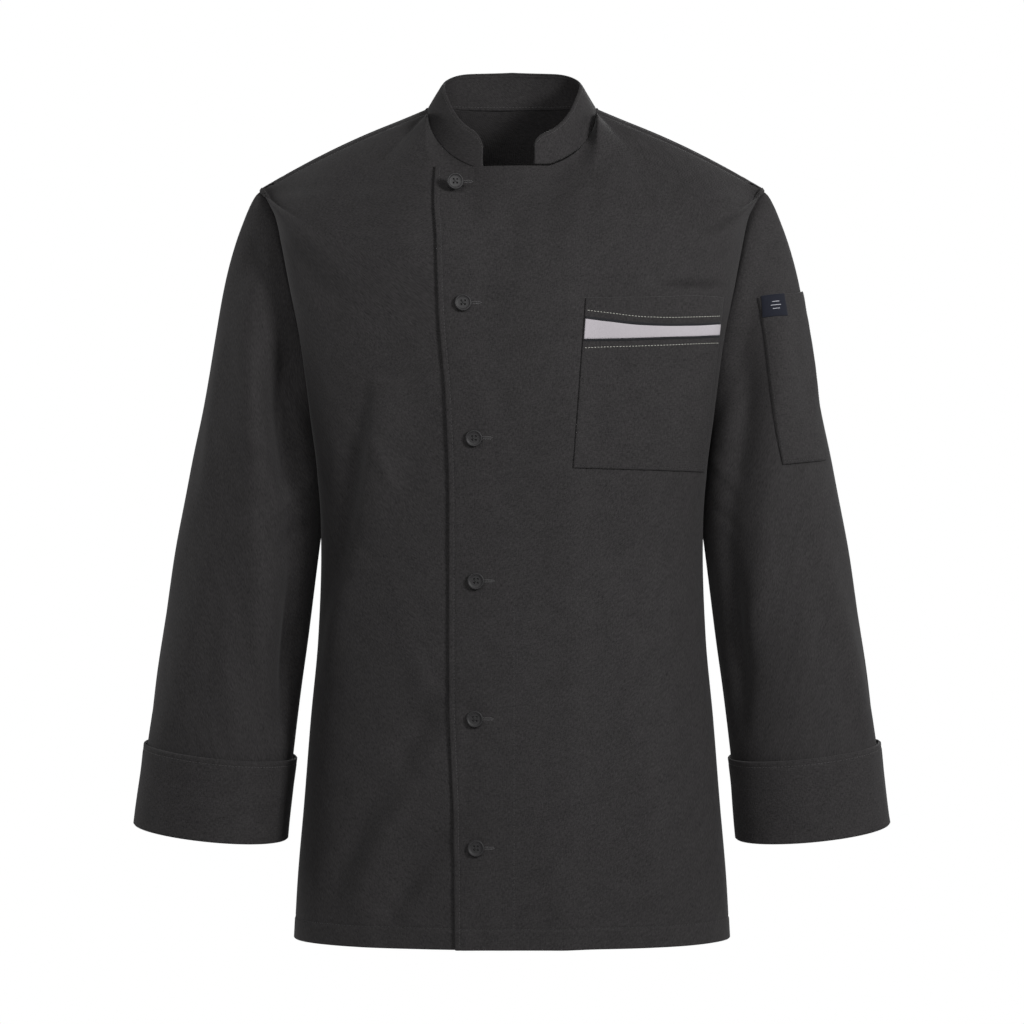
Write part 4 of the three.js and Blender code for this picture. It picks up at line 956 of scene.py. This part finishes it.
def cuff_grid(turn):
    """A left cuff's grid and normals: the sleeve's sections moved out, a little more at
    the free edge, uneven by three waves, and drawn in at the sewing. turn shifts the waves."""
    angle = 360 - np.linspace(0, 360, CUFF_COLUMNS)[None, :-1]
    share = np.linspace(0, 1, CUFF_ROWS)[:, None]
    base = sleeve_section(angle, mix(CUFF_TOP, CUFF_FOOT, share) + 0 * angle)
    normals = grid_normals(base, closed=True)
    down = arc_length(base, 0)
    around = arc_length(base, 1)
    flare = CUFF_FLARE * (1 - smooth(share / FLARE_ENDS))
    wave = ripple(around, ((31, turn, 0.7),)) * (1 - smooth(share / EDGE_WAVE_ENDS))
    wave = wave + ripple(around, ((17, 2 * turn, 0.35), (46, down / 19 + turn, 0.4)))
    groove = -THREAD_PULL * bell(down - CUFF_SEWING, THREAD_PULL_WIDTH) * (1 + ripple(around, PULL_WAVES))
    rise = CUFF_CLEAR + CUFF_WALL + flare + np.maximum(wave, WAVE_FLOOR) + groove
    return base + normals * rise[..., None], normals


cuff_left = cuff_grid(turn=0.7)
cuff_right = mirrored(*cuff_grid(turn=2.9))
for node, surface in (("cuff_left", cuff_left), ("cuff_right", cuff_right)):
    piece = shell(f"{node}_cloth", *surface, CUFF_WALL, charcoal_twill, closed=True)
    fit(piece, node)

# Collar: a stand of two layers of twill with a stiff middle, 34 mm high, sewn into the neck
# seam. Its front ends are rounded and leave a gap, and a row of sewing follows its edge.
COLLAR_HALF_TOP = 66
COLLAR_FRONT_TOP = 66
COLLAR_BACK_TOP = 38
COLLAR_END_RIGHT = -27.8
COLLAR_END_LEFT = 21.2
COLLAR_CORNER = 13
COLLAR_HEIGHT = 34
COLLAR_WALL = 2
COLLAR_RUN = 400
NECK_CLEAR = 0.85
NECK_CLOSER = 0.65
CLOSER_FROM = 104
CLOSER_RUN = 20
NECK_STEP = 0.9
STEP_ANGLE = 94
STEP_WIDTH = 6
LIFT_UP = 0.8
LIFT_AHEAD = 0.6
COLLAR_SEWING = 2.6
COLLAR_PULL_WIDTH = 0.9
COLLAR_EDGE = 0.5
COLLAR_EDGE_RUN = 1.6
COLLAR_WAVES = ((23, 0.6, 0.35), (11, 0, 0.2))
COLLAR_WAVES_FROM = 30
COLLAR_COLUMNS = 300
CORNER_COLUMNS = (0, 0.03, 0.08, 0.16, 0.27, 0.4, 0.55, 0.7, 0.85)
COLLAR_ROWS = (15, 29)
CLOSE_ROWS_END = 0.2
collar_top = columns("angle z", [
    (0, -31), (22, -30.5), (34, -26), (46, -17), (57, -6),
    (70, 9), (90, 24), (110, 32), (140, 38.5), (180, 41),
])


def neck_z(angle):
    """Height of the neck seam at any angle from centre front, in degrees."""
    side = half_turn(angle)
    over = smooth(-np.cos(np.radians(side)) / NECK_STRAIGHT)
    behind = back_neck_z(np.radians(180 - np.maximum(side, 90)))
    behind = behind - (NECK_RIDGE_Z - NECK_SIDE_Z) * (1 - over) ** 2
    return np.where(side <= 90, read(neck_line, "angle", "z", side), behind)


def collar_point(place, share):
    """A point of the collar: place is the way along it from its left end, share 0 its top
    edge and 1 the neck seam. Seen from above it is two half ellipses; its ends are rounded
    by a quarter circle cut off the height."""
    to_end = COLLAR_RUN * np.minimum(place, 1 - place)
    bite = np.clip(1 - to_end / COLLAR_CORNER, 0, 1)
    height = (1 - share) * (1 - COLLAR_CORNER / COLLAR_HEIGHT * (1 - np.sqrt(1 - bite**2)))
    half = mix(NECK_HALF, COLLAR_HALF_TOP, height)
    last = 2 * math.pi - np.arcsin(-COLLAR_END_RIGHT / half)
    turn = mix(np.arcsin(COLLAR_END_LEFT / half), last, place)
    angle = np.degrees(turn)
    side = half_turn(angle)
    ahead = np.cos(turn)
    x = half * np.sin(turn)
    front = -mix(NECK_FRONT, COLLAR_FRONT_TOP, height) * ahead
    behind = RIDGE_Y * smooth(-ahead / NECK_STRAIGHT) - mix(NECK_BACK, COLLAR_BACK_TOP, height) * ahead
    low = neck_z(angle) + NECK_CLEAR + NECK_STEP * bell(side - STEP_ANGLE, STEP_WIDTH)
    low = low - NECK_CLOSER * smooth((side - CLOSER_FROM) / CLOSER_RUN)
    lift = np.where((x > 0) & (ahead > 0), top_lift(x), 0)
    z = mix(low, read(collar_top, "angle", "z", side), height) + LIFT_UP * lift * (1 - height)
    return points(x, np.where(ahead > 0, front, behind) - LIFT_AHEAD * lift, z)


def collar_grid():
    """The collar's grid and normals, with the sewing's groove round its free edge."""
    corner = COLLAR_CORNER / COLLAR_RUN
    ends = corner * np.array(CORNER_COLUMNS)
    middle = np.linspace(corner, 1 - corner, COLLAR_COLUMNS)
    place = np.concatenate([ends, middle, 1 - ends[::-1]])[None, :]
    close, even = COLLAR_ROWS
    close_rows = np.linspace(0, CLOSE_ROWS_END, close)[:-1]
    share = np.concatenate([close_rows, np.linspace(CLOSE_ROWS_END, 1, even)])[:, None]
    grid = collar_point(place, share)
    normals = grid_normals(grid)
    level = unit(normals * (1, 1, 0))
    from_top = arc_length(grid, 0)
    along = arc_length(grid, 1)
    from_edge = np.minimum(from_top, np.minimum(along, along[:, -1:] - along))
    rise = -EDGE_PULL * bell(from_edge - COLLAR_SEWING, COLLAR_PULL_WIDTH)
    rise = rise - COLLAR_EDGE * (1 - smooth(from_edge / COLLAR_EDGE_RUN))
    rise = rise + ripple(along, COLLAR_WAVES) * smooth(from_top / COLLAR_WAVES_FROM)
    return grid + normals * rise[..., None], level


collar_outer, collar_normals = collar_grid()
collar = shell("collar_cloth", collar_outer, collar_normals, COLLAR_WALL, charcoal_twill)
fit(collar, "collar")

# Chest pocket: one piece of the twill, hemmed at its top and sewn on at its sides and foot.
# Everything on it is laid out by its own two directions, across and down, from 0 to 1.
POCKET_GAP = 0.7
PATCH_WALL = 1.2
PATCH_STEP = 0.45
PATCH_EDGE_RUN = 1.5
PATCH_PULL_WIDTH = 0.7
PATCH_FOLD_RUN = 1.2
PATCH_TOP_STEP = 0.2
PATCH_SLACK = 0.5
SLACK_UNEVEN = 0.5
PATCH_WAVES = 0.12
PATCH_WAVES_WIDTH = 6
MIDDLE_U = (0.022, 0.978)
MIDDLE_W = (0.02, 0.98)
NEAR_U = (0, 0.004, 0.009, 0.015)
NEAR_W = (0, 0.004, 0.01)
FAR_U = (0.985, 0.991, 0.996, 1)
FAR_W = (0.987, 0.992, 0.996, 1)
POCKET_OPENS = 2.4
OPENING_ENDS = 0.5
OPENING_FROM = 0.35
OPENING_RUN = 0.5
OPENING_CORNER = 0.93
CORNER_RUN = 0.1
RASTER = 1.5
RASTER_X = (-72, 199)
RASTER_Z = (-776, -90)
pocket_corners = np.array([[67, -185.8], [193, -183.2], [55.7, -339.6], [176.8, -342.6]])


def front_raster():
    """The left front as heights on a square net: each of its rows read off at even x,
    then each column of those at even z. Gives x, z and y."""
    x = np.arange(*RASTER_X, RASTER)
    z = np.arange(*RASTER_Z, RASTER)
    widest = [row[: np.argmax(row[:, 0]) + 1] for row in top_outer]
    row_y = np.array([np.interp(x, row[:, 0], row[:, 1]) for row in widest])
    row_z = np.array([np.interp(x, row[:, 0], row[:, 2]) for row in widest])
    y = np.array([np.interp(z, row_z[::-1, k], row_y[::-1, k]) for k in range(len(x))])
    return x, z, y


raster_x, raster_z, raster_y = front_raster()
raster_slope = np.stack(np.gradient(raster_y, RASTER), axis=-1)
raster_values = np.concatenate([raster_y[..., None], raster_slope], axis=-1)


def on_front(x, z):
    """Points of the left front's outer face at (x, z), and its normals there, blended from
    the four net points round each. Places beyond the net are read just inside its edge."""
    edge = 1.001
    a = np.clip((x - raster_x[0]) / RASTER, 0, len(raster_x) - edge)
    b = np.clip((z - raster_z[0]) / RASTER, 0, len(raster_z) - edge)
    i, j = a.astype(int), b.astype(int)
    share_a, share_b = (a - i)[..., None], (b - j)[..., None]
    near = mix(raster_values[i, j], raster_values[i + 1, j], share_a)
    far = mix(raster_values[i, j + 1], raster_values[i + 1, j + 1], share_a)
    value = mix(near, far, share_b)
    normal = unit(points(value[..., 1], -np.ones_like(x), value[..., 2]))
    return points(x, value[..., 0], z), normal


def corner_mix(corners, u, w):
    """The place between four corners, across by u and down by w."""
    u, w = np.asarray(u)[..., None], np.asarray(w)[..., None]
    return mix(mix(corners[0], corners[1], u), mix(corners[2], corners[3], u), w)


def slack(u, w):
    """Loose cloth between a patch's seams: a low dome, with nothing at the edges."""
    return PATCH_SLACK * np.sin(math.pi * np.clip(u, 0, 1)) * np.sin(math.pi * np.clip(w, 0, 1))


def on_pocket(u, w, height):
    """A point of the pocket at a height over the front, and its normal. Its top edge stands
    off a little towards the side, where the pocket opens, and its slack is uneven."""
    place = corner_mix(pocket_corners, u, w)
    base, normal = on_front(place[..., 0], place[..., 1])
    opens = (1 - smooth(w / OPENING_ENDS)) * smooth((u - OPENING_FROM) / OPENING_RUN)
    opens = POCKET_OPENS * opens * (1 - smooth((u - OPENING_CORNER) / CORNER_RUN))
    height = height + opens + slack(u, w) * (1 + SLACK_UNEVEN * np.sin(7 * u + 4 * w))
    return base + normal * np.asarray(height)[..., None], normal


def patch(surface, across, down, height, edge_step, groove_at):
    """A patch's grid and normals: its edge turns down to the cloth under it, with a groove
    where the sewing pulls it in, apart from the top, which is a plain fold."""
    u = np.concatenate([NEAR_U, np.linspace(*MIDDLE_U, across), FAR_U])
    w = np.concatenate([NEAR_W, np.linspace(*MIDDLE_W, down), FAR_W])
    u, w = np.meshgrid(u, w)
    base, normals = surface(u, w, height)
    reach, drop = arc_length(base, 1), arc_length(base, 0)
    sides = np.minimum(reach, reach[:, -1:] - reach)
    inside = np.minimum(sides, drop[-1:] - drop)
    rise = -edge_step * (1 - smooth(inside / PATCH_EDGE_RUN))
    rise = rise - EDGE_PULL * bell(inside - groove_at, PATCH_PULL_WIDTH)
    rise = rise - PATCH_TOP_STEP * (1 - smooth(drop / PATCH_FOLD_RUN))
    rise = rise + PATCH_WAVES * np.sin(reach / 2.9 + drop / 3.3) * bell(inside, PATCH_WAVES_WIDTH)
    return base + normals * rise[..., None], normals


POCKET_TOP = POCKET_GAP + PATCH_WALL
pocket_grid = patch(on_pocket, across=92, down=118, height=POCKET_TOP, edge_step=PATCH_STEP, groove_at=2.4)
chest_pocket = shell("chest_pocket_cloth", *pocket_grid, PATCH_WALL - PATCH_STEP, charcoal_twill)
fit(chest_pocket, "chest_pocket")

# Pale insert and its dark pipings, sewn flat across the pocket with a row of pale thread
# outside each piping. The insert is widest at its left end, under a curved upper edge.
STRIP_HEIGHT = 2.05
STRIP_WALL = 0.55
INSERT_WHITE = (0.465, 0.437, 0.465)
PIPING_BLACK = (0.016, 0.0165, 0.019)
PALE_THREAD = (0.56, 0.56, 0.5)
PALE_STITCH = (2.9, 2.1, 0.5)
SEAM_STARTS = 0.012
STRIP_COLUMNS = 110
STRIP_ENDS = 0.006
band_lines = columns("u thread_top piping_top insert_top insert_foot piping_foot thread_foot", [
    (0.000, 0.0720, 0.1085, 0.1235, 0.2420, 0.2560, 0.2960),
    (0.180, 0.0905, 0.1260, 0.1420, 0.2395, 0.2545, 0.2890),
    (0.400, 0.1120, 0.1455, 0.1620, 0.2360, 0.2510, 0.2845),
    (0.620, 0.1195, 0.1550, 0.1690, 0.2305, 0.2450, 0.2780),
    (0.820, 0.1135, 0.1510, 0.1640, 0.2235, 0.2375, 0.2680),
    (1.000, 0.1040, 0.1380, 0.1520, 0.2130, 0.2270, 0.2590),
])


def strip(upper, lower, rows, height, bulge):
    """A band across the pocket between two of its lines, rounded up by its bulge."""
    u = np.linspace(STRIP_ENDS, 1 - STRIP_ENDS, STRIP_COLUMNS)[None, :]
    share = np.linspace(0, 1, rows)[:, None]
    w = mix(read(band_lines, "u", upper, u), read(band_lines, "u", lower, u), share)
    rise = height + bulge * np.sqrt(np.clip(1 - (2 * share - 1) ** 2, 0, 1))
    return on_pocket(u + 0 * w, w, rise + 0 * w)


insert_cloth = woven("insert_cloth", INSERT_WHITE, depth=0.00012, contrast=0.06)
piping_cloth = woven("piping_cloth", PIPING_BLACK, depth=0.0001, contrast=0.1)
insert_grid = strip("insert_top", "insert_foot", rows=12, height=STRIP_HEIGHT, bulge=0.15)
insert = shell("pocket_insert_cloth", *insert_grid, STRIP_WALL, insert_cloth)
fit(insert, "pocket_insert")
piping_edges = {"piping_upper": ("piping_top", "insert_top"), "piping_lower": ("insert_foot", "piping_foot")}
for node, edges in piping_edges.items():
    piping_grid = strip(*edges, rows=8, height=STRIP_HEIGHT, bulge=0.6)
    piece = shell(f"{node}_cloth", *piping_grid, STRIP_WALL, piping_cloth)
    fit(piece, node)


# One stitch: its rings' places along it, their sizes and their heights in the cloth
stitch_rings = columns("reach girth lift", [
    (-0.5, 0.35, -0.9), (-0.3, 1, 0.35), (0.3, 1, 0.35), (0.5, 0.35, -0.9),
])
STITCH_SIDES = 6


def capsules(at, along, up, length, thick):
    """Stitches at given places, as points and faces: each a short capsule of 4 rings whose
    ends sink into the cloth."""
    side = np.cross(up, along)
    reach = stitch_rings["reach"][:, None] * length
    girth = stitch_rings["girth"][:, None] * thick / 2
    turn = np.arange(STITCH_SIDES)[None, :] * 2 * math.pi / STITCH_SIDES
    lift = stitch_rings["lift"][:, None] * thick / 2
    ring = along[:, None, None] * (reach + 0 * turn)[..., None]
    ring = ring + side[:, None, None] * (girth * np.cos(turn))[..., None]
    ring = ring + up[:, None, None] * (girth * np.sin(turn) + lift)[..., None]
    vertices = (at[:, None, None] + ring).reshape(-1, 3)
    a, b = np.meshgrid(np.arange(3), np.arange(STITCH_SIDES), indexing="ij")
    row, after = a * STITCH_SIDES, (b + 1) % STITCH_SIDES
    quads = np.stack([row + b, row + after, row + STITCH_SIDES + after, row + STITCH_SIDES + b], axis=-1)
    caps = np.array([[5, 4, 3, 2], [5, 2, 1, 0], [18, 19, 20, 21], [18, 21, 22, 23]])
    template = np.concatenate([quads.reshape(-1, 4), caps])
    first = 4 * STITCH_SIDES * np.arange(len(at))
    return vertices, (template[None] + first[:, None, None]).reshape(-1, 4)


def stitches(path, normals, size):
    """A row of stitches along a path, each read off the path within a short step both ways
    and turned a little one way or the other. size gives pitch, length and thickness."""
    pitch, length, thick = size
    step, wander, waves = 0.5, 0.05, 1.7
    run = arc_length(path, 0)
    places = np.arange(pitch / 2, run[-1], pitch)

    def sample(values, offset=0.0):
        """Values along the path at the stitches' places, an offset further on."""
        return np.stack([np.interp(places + offset, run, values[:, k]) for k in range(3)], axis=-1)

    up = unit(sample(normals))
    along = unit(sample(path, step) - sample(path, -step))
    along = unit(along + np.cross(up, along) * wander * np.sin(places * waves)[:, None])
    return capsules(sample(path), along, up, length, thick)


def sewing(name, runs, material):
    """One thread piece from several runs of stitches."""
    starts = np.cumsum([0] + [len(vertices) for vertices, faces in runs])
    faces = np.concatenate([faces + start for (vertices, faces), start in zip(runs, starts)])
    piece = put_mesh(name, np.concatenate([vertices for vertices, faces in runs]), faces.tolist(), material)
    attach(piece, "root")
    return piece


def thread(name, colour):
    """Spun polyester thread: matte, with a slight sheen."""
    return paint(name, Base_Color=(*colour, 1), Roughness=0.6, Sheen_Weight=0.15)


pale_thread = thread("pale_thread", PALE_THREAD)
dark_thread = thread("dark_thread", (0.013, 0.0125, 0.013))
edge_thread = thread("edge_thread", (0.052, 0.05, 0.051))
band_u = np.linspace(SEAM_STARTS, 1 - SEAM_STARTS, 160)
pale_runs = []
for line in ("thread_top", "thread_foot"):
    path, up = on_pocket(band_u, read(band_lines, "u", line, band_u), POCKET_TOP)
    pale_runs.append(stitches(path, up, PALE_STITCH))
sewing("pocket_pale_sewing", pale_runs, pale_thread)

# Sewing of the pocket, in dark thread: one row round its sides and foot, close to the edge,
# and a short bar at each top corner, where a hand going in pulls at it.
TOP_STITCH = (2.6, 2.0, 0.34)
SUNK = 0.2
POCKET_SEAM_U = 0.0185
POCKET_SEAM_W = 0.985
BAR_ENDS = 0.085
BAR_U = (0.045, 0.955)


def round_patch(surface, seam_u, seam_w, height):
    """Stitches down one side of a patch, along its foot and up the other side."""
    down = np.linspace(SEAM_STARTS, seam_w, 120)
    across = np.linspace(seam_u, 1 - seam_u, 90)
    u = np.concatenate([0 * down + seam_u, across, 0 * down + 1 - seam_u])
    w = np.concatenate([down, 0 * across + seam_w, down[::-1]])
    path, up = surface(u, w, height)
    return stitches(path, up, TOP_STITCH)


pocket_runs = [round_patch(on_pocket, POCKET_SEAM_U, POCKET_SEAM_W, POCKET_TOP - SUNK)]
bar_w = np.linspace(SEAM_STARTS, BAR_ENDS, 30)
for bar_u in BAR_U:
    path, up = on_pocket(0 * bar_w + bar_u, bar_w, POCKET_TOP)
    pocket_runs.append(stitches(path, up, TOP_STITCH))
sewing("pocket_sewing", pocket_runs, dark_thread)

# Sleeve pocket on the wearer's left: a long narrow patch of the twill with slanting sides,
# for pens, hemmed at its top and sewn to the sleeve before that is closed.
PEN_TOP = 1.3 + PATCH_WALL
PEN_STEP = 0.8
PEN_SEAM_U = 0.03
PEN_SEAM_W = 0.984
PEN_BOW = 6
HALVINGS = 20
pen_corners = np.array([[74, -181.3], [10, -172.8], [80, -336], [30, -331.2]])


def on_sleeve(angle, z):
    """The left sleeve's surface and normals by angle and height: q is found by halving."""
    above, below = 0 * z, 0 * z + 2
    for _ in range(HALVINGS):
        middle = (above + below) / 2
        high = sleeve_point(angle, middle)[..., 2] > z
        above, below = np.where(high, middle, above), np.where(high, below, middle)
    return sleeve_surface(angle, above, left_sleeve_folds)


def on_sleeve_pocket(u, w, height):
    """A point of the sleeve pocket at a height over the sleeve, and its normal there. Its
    inner edge bows out by an arc of PEN_BOW degrees."""
    place = corner_mix(pen_corners, u, w)
    bow = PEN_BOW * 4 * w * (1 - w) * (1 - u)
    base, normal = on_sleeve(place[..., 0] + bow, place[..., 1])
    return base + normal * (height + slack(u, w))[..., None], normal


pen_grid = patch(on_sleeve_pocket, across=56, down=120, height=PEN_TOP, edge_step=PEN_STEP, groove_at=2.2)
sleeve_pocket = shell("sleeve_pocket_cloth", *pen_grid, PATCH_WALL - PATCH_STEP, charcoal_twill)
fit(sleeve_pocket, "sleeve_pocket")
pen_sewing = round_patch(on_sleeve_pocket, PEN_SEAM_U, PEN_SEAM_W, PEN_TOP - SUNK)
sewing("sleeve_pocket_sewing", [pen_sewing], dark_thread)

# Woven label in the sleeve pocket's top corner: dark blue satin, thinner at its folded
# edges, with three short pale bars, of which the middle one is longer.
LABEL_HEIGHT = 3.3
LABEL_CROWN = 0.35
CROWN_RUN = 0.08
LABEL_WALL = 0.6
LABEL_RIBS = 0.04
RIB_WAVES = 90
LABEL_BLUE = (0.0095, 0.011, 0.019)
LABEL_PALE = (0.42, 0.42, 0.46)
LABEL_STITCH = (1.0, 1.5, 0.8)
label_corners = np.array([[71.5, -180.5], [50, -177.8], [76.8, -200.3], [54, -198.5]])
label_bars = columns("start end place", [(0.36, 0.62, 0.34), (0.30, 0.68, 0.5), (0.36, 0.62, 0.66)])


def on_label(u, w, height):
    """A point of the label at a height over the sleeve, and its normal there."""
    place = corner_mix(label_corners, u, w)
    base, normal = on_sleeve(place[..., 0], place[..., 1])
    return base + normal * (height + 0 * u)[..., None], normal


label_u, label_w = np.meshgrid(np.linspace(0, 1, 50), np.linspace(0, 1, 40))
label_edge = np.minimum(np.minimum(label_u, 1 - label_u), np.minimum(label_w, 1 - label_w))
label_rise = LABEL_HEIGHT + LABEL_CROWN * smooth(label_edge / CROWN_RUN)
label_rise = label_rise + LABEL_RIBS * np.sin(label_w * RIB_WAVES)
label_blue = woven("label_blue", LABEL_BLUE, depth=0.0001, contrast=0.2)
label = shell("sleeve_label_cloth", *on_label(label_u, label_w, label_rise), LABEL_WALL, label_blue)
fit(label, "sleeve_label")
bars = []
for start, end, place in zip(*label_bars.values()):
    bar_u = np.linspace(start, end, 20)
    path, up = on_label(bar_u, 0 * bar_u + place, LABEL_HEIGHT + LABEL_CROWN)
    bars.append(stitches(path, up, LABEL_STITCH))
sewing("label_bars", bars, thread("label_thread", LABEL_PALE))

# Sewing of the panels: dark thread at the hems, and thread a little lighter than the cloth
# along the free edge, the facing's inner line, the collar's edges and seam, and the cuffs.
FACING_X = 1.8
FACING_TOP = -463
FACING_FOOT = HEM_Z + 4
SEAM_STITCH = (3.1, 2.4, 0.36)
FACING_STITCH = (3.1, 2.4, 0.26)


def line_on(grid, normals, distance):
    """A line across a grid at a distance from its first row, with the normals on it."""
    drop = arc_length(grid, 0)
    row = np.sum(drop < distance, axis=0) - 1
    row = np.clip(row, 0, len(grid) - 2)
    walk = np.arange(grid.shape[1])
    share = (distance - drop[row, walk]) / (drop[row + 1, walk] - drop[row, walk])
    return mix(grid[row, walk], grid[row + 1, walk], share[:, None]), normals[row, walk]


facing_z = np.linspace(FACING_TOP, FACING_FOOT, 220)
edge_runs = [
    stitches(*line_on(top_outer.swapaxes(0, 1), top_normals.swapaxes(0, 1), EDGE_SEWING), SEAM_STITCH),
    stitches(*on_front(FACING_X + 0 * facing_z, facing_z), FACING_STITCH),
]
sewing("edge_sewing", edge_runs, edge_thread)
panel_runs = []
for outer, up in ((top_outer, top_normals), (under_outer, under_normals), (back_outer, back_normals)):
    panel_runs.append(stitches(*line_on(outer[::-1], up[::-1], HEM_STITCH), SEAM_STITCH))
sewing("panel_sewing", panel_runs, dark_thread)
seam_path, seam_up = line_on(collar_outer[::-1], collar_normals[::-1], COLLAR_SEWING)
collar_runs = [
    stitches(*line_on(collar_outer, collar_normals, COLLAR_SEWING), SEAM_STITCH),
    stitches(seam_path - seam_up * COLLAR_WALL, -seam_up, SEAM_STITCH),
]
sewing("collar_sewing", collar_runs, edge_thread)
cuff_runs = [stitches(*line_on(*cuff, CUFF_SEWING), SEAM_STITCH) for cuff in (cuff_left, cuff_right)]
sewing("cuff_sewing", cuff_runs, edge_thread)

# Buttonholes: level slots worked in close satin stitches, each from its button towards the
# centre, with a bar at its end.
HOLE_END = 15.8
HOLE_START = 2
HOLE_SIDE = 0.85
SATIN_PITCH = 0.45
SATIN_LENGTH = 1.25
SATIN_THICK = 0.42
SATIN_GREY = (0.066, 0.063, 0.065)
BAR_LENGTH = 3.0
SLIT_MIDDLE = 11
SLIT_LENGTH = 9
SLIT_WIDTH = 0.5
SLIT_SHADE_BLACK = (0.006, 0.006, 0.006)
button_places = columns("x z gap", [
    (-52.5, -76.9, 0.8), (-44.5, -190.3, 0.7), (-34.5, -312.9, 0.6),
    (-32.7, -442.7, 0.6), (-33.6, -568, 0.4), (-32.6, -685.3, 0.3),
])
satin = np.arange(HOLE_START, HOLE_END, SATIN_PITCH)
bar = HOLE_END + SATIN_PITCH * np.arange(3)
offset_x = np.concatenate([satin, satin, bar])
offset_z = np.concatenate([0 * satin + HOLE_SIDE, 0 * satin - HOLE_SIDE, 0 * bar])
satin_length = np.repeat([SATIN_LENGTH, BAR_LENGTH], [2 * len(satin), len(bar)])
hole_x = (button_places["x"][:, None] + offset_x).ravel()
hole_z = (button_places["z"][:, None] + offset_z).ravel()
hole_at, hole_up = on_front(hole_x, hole_z)
hole_side = unit(np.cross(hole_up, (1, 0, 0)))
hole_length = np.tile(satin_length, len(button_places["x"]))[:, None, None, None]
satin_thread = thread("satin_thread", SATIN_GREY)
sewing("buttonholes", [capsules(hole_at, hole_side, hole_up, hole_length, SATIN_THICK)], satin_thread)
# Each slot's opening is a near-black capsule in the thread shader: painted shade where the slot looks onto
# the cloth beneath.
slit_at, slit_up = on_front(button_places["x"] + SLIT_MIDDLE, button_places["z"])
slit_along = unit(np.cross((0, 0, 1), slit_up))
slit_shade = thread("slit_shade", SLIT_SHADE_BLACK)
sewing("buttonhole_slit_shade", [capsules(slit_at, slit_along, slit_up, SLIT_LENGTH, SLIT_WIDTH)], slit_shade)

# Buttons: six of moulded plastic, 15.4 mm across, with a raised rim and four holes, sewn on
# with two crossed threads. They are turned out of the cloth where they lie.
BUTTON_TURNS = 72
BUTTON_TILT_SPAN = 4
EYE_OFFSET = 1.65
EYE_RADIUS = 0.85
EYE_RIM = 0.3
EYE_DEPTH = 1.3
FACE_RINGS = 17
FACE_RADIUS = 4.1
FACE_HEIGHT = 2.14
CROSS_HEIGHTS = (2.2, 2.4)
CROSS_LENGTH = 4.6
CROSS_THICK = 0.62
BUTTON_GREY = (0.016, 0.015, 0.016)
button_profile = columns("r h", [
    (0.05, 0), (6.2, 0), (7, 0.35), (7.5, 0.85), (7.7, 1.3), (7.7, 2), (7.62, 2.4), (7.4, 2.75),
    (7.05, 2.97), (6.7, 3), (6.35, 2.9), (6, 2.7), (5.7, 2.48), (5.4, 2.33), (5, 2.24), (4.4, 2.18),
])


def button_shape():
    """Points and faces of a button that lies flat: its turned outline, then rings over the
    face to the middle, with a dimple for each of the four holes."""
    inner = np.linspace(FACE_RADIUS, button_profile["r"][0], FACE_RINGS)
    radius = np.concatenate([button_profile["r"], inner])[:, None]
    height = np.concatenate([button_profile["h"], 0 * inner + FACE_HEIGHT])[:, None]
    turn = np.arange(BUTTON_TURNS)[None, :] * 2 * math.pi / BUTTON_TURNS
    x, y = radius * np.cos(turn), radius * np.sin(turn)
    eye = np.hypot(np.abs(x) - EYE_OFFSET, np.abs(y) - EYE_OFFSET)
    top = np.arange(len(radius))[:, None] >= len(button_profile["r"]) - 1
    height = height - top * EYE_DEPTH * (1 - smooth((eye - EYE_RADIUS + EYE_RIM) / EYE_RIM))
    vertices = points(x, y, height).reshape(-1, 3)
    i, j = np.meshgrid(np.arange(len(radius) - 1), np.arange(BUTTON_TURNS), indexing="ij")
    row, after = i * BUTTON_TURNS, (j + 1) % BUTTON_TURNS
    corners = [row + j, row + after, row + BUTTON_TURNS + after, row + BUTTON_TURNS + j]
    faces = np.stack(corners, axis=-1).reshape(-1, 4).tolist()
    ring = np.arange(BUTTON_TURNS)
    return vertices, faces + [ring[::-1].tolist(), (ring + len(vertices) - BUTTON_TURNS).tolist()]


button_plastic = paint("button_plastic", Base_Color=(*BUTTON_GREY, 1), Roughness=0.58)
nodes, links = button_plastic.node_tree.nodes, button_plastic.node_tree.links
place = nodes.new("ShaderNodeTexCoord")
scuff = set_sockets(nodes.new("ShaderNodeTexNoise"), Scale=900)
links.new(place.outputs["Object"], scuff.inputs["Vector"])
scuff_bump = set_sockets(nodes.new("ShaderNodeBump"), Strength=0.2, Distance=0.0001)
links.new(scuff.outputs["Fac"], scuff_bump.inputs["Height"])
links.new(scuff_bump.outputs["Normal"], nodes["Principled BSDF"].inputs["Normal"])

button_points, button_faces = button_shape()
cross_runs = []
for k, (at_x, at_z, gap) in enumerate(zip(*button_places.values())):
    span = np.array([-BUTTON_TILT_SPAN, BUTTON_TILT_SPAN])
    level = on_front(at_x + span, at_z + 0 * span)[0]
    upright = on_front(at_x + 0 * span, at_z + span)[0]
    over = unit(level[1] - level[0])
    out = unit(np.cross(over, upright[1] - upright[0]))
    rise = np.cross(out, over)
    axes = np.stack([over, rise, out])
    seat = (level.mean(axis=0) + upright.mean(axis=0)) / 2 + out * gap
    button = put_mesh(f"button_{k + 1}_disc", seat + button_points @ axes, button_faces, button_plastic)
    fit(button, f"button_{k + 1}")
    slants = unit(np.array([over + rise, over - rise]))
    middle = seat + out * np.array(CROSS_HEIGHTS)[:, None]
    cross_runs.append(capsules(middle, slants, np.stack([out, out]), CROSS_LENGTH, CROSS_THICK))
sewing("button_threads", cross_runs, dark_thread)
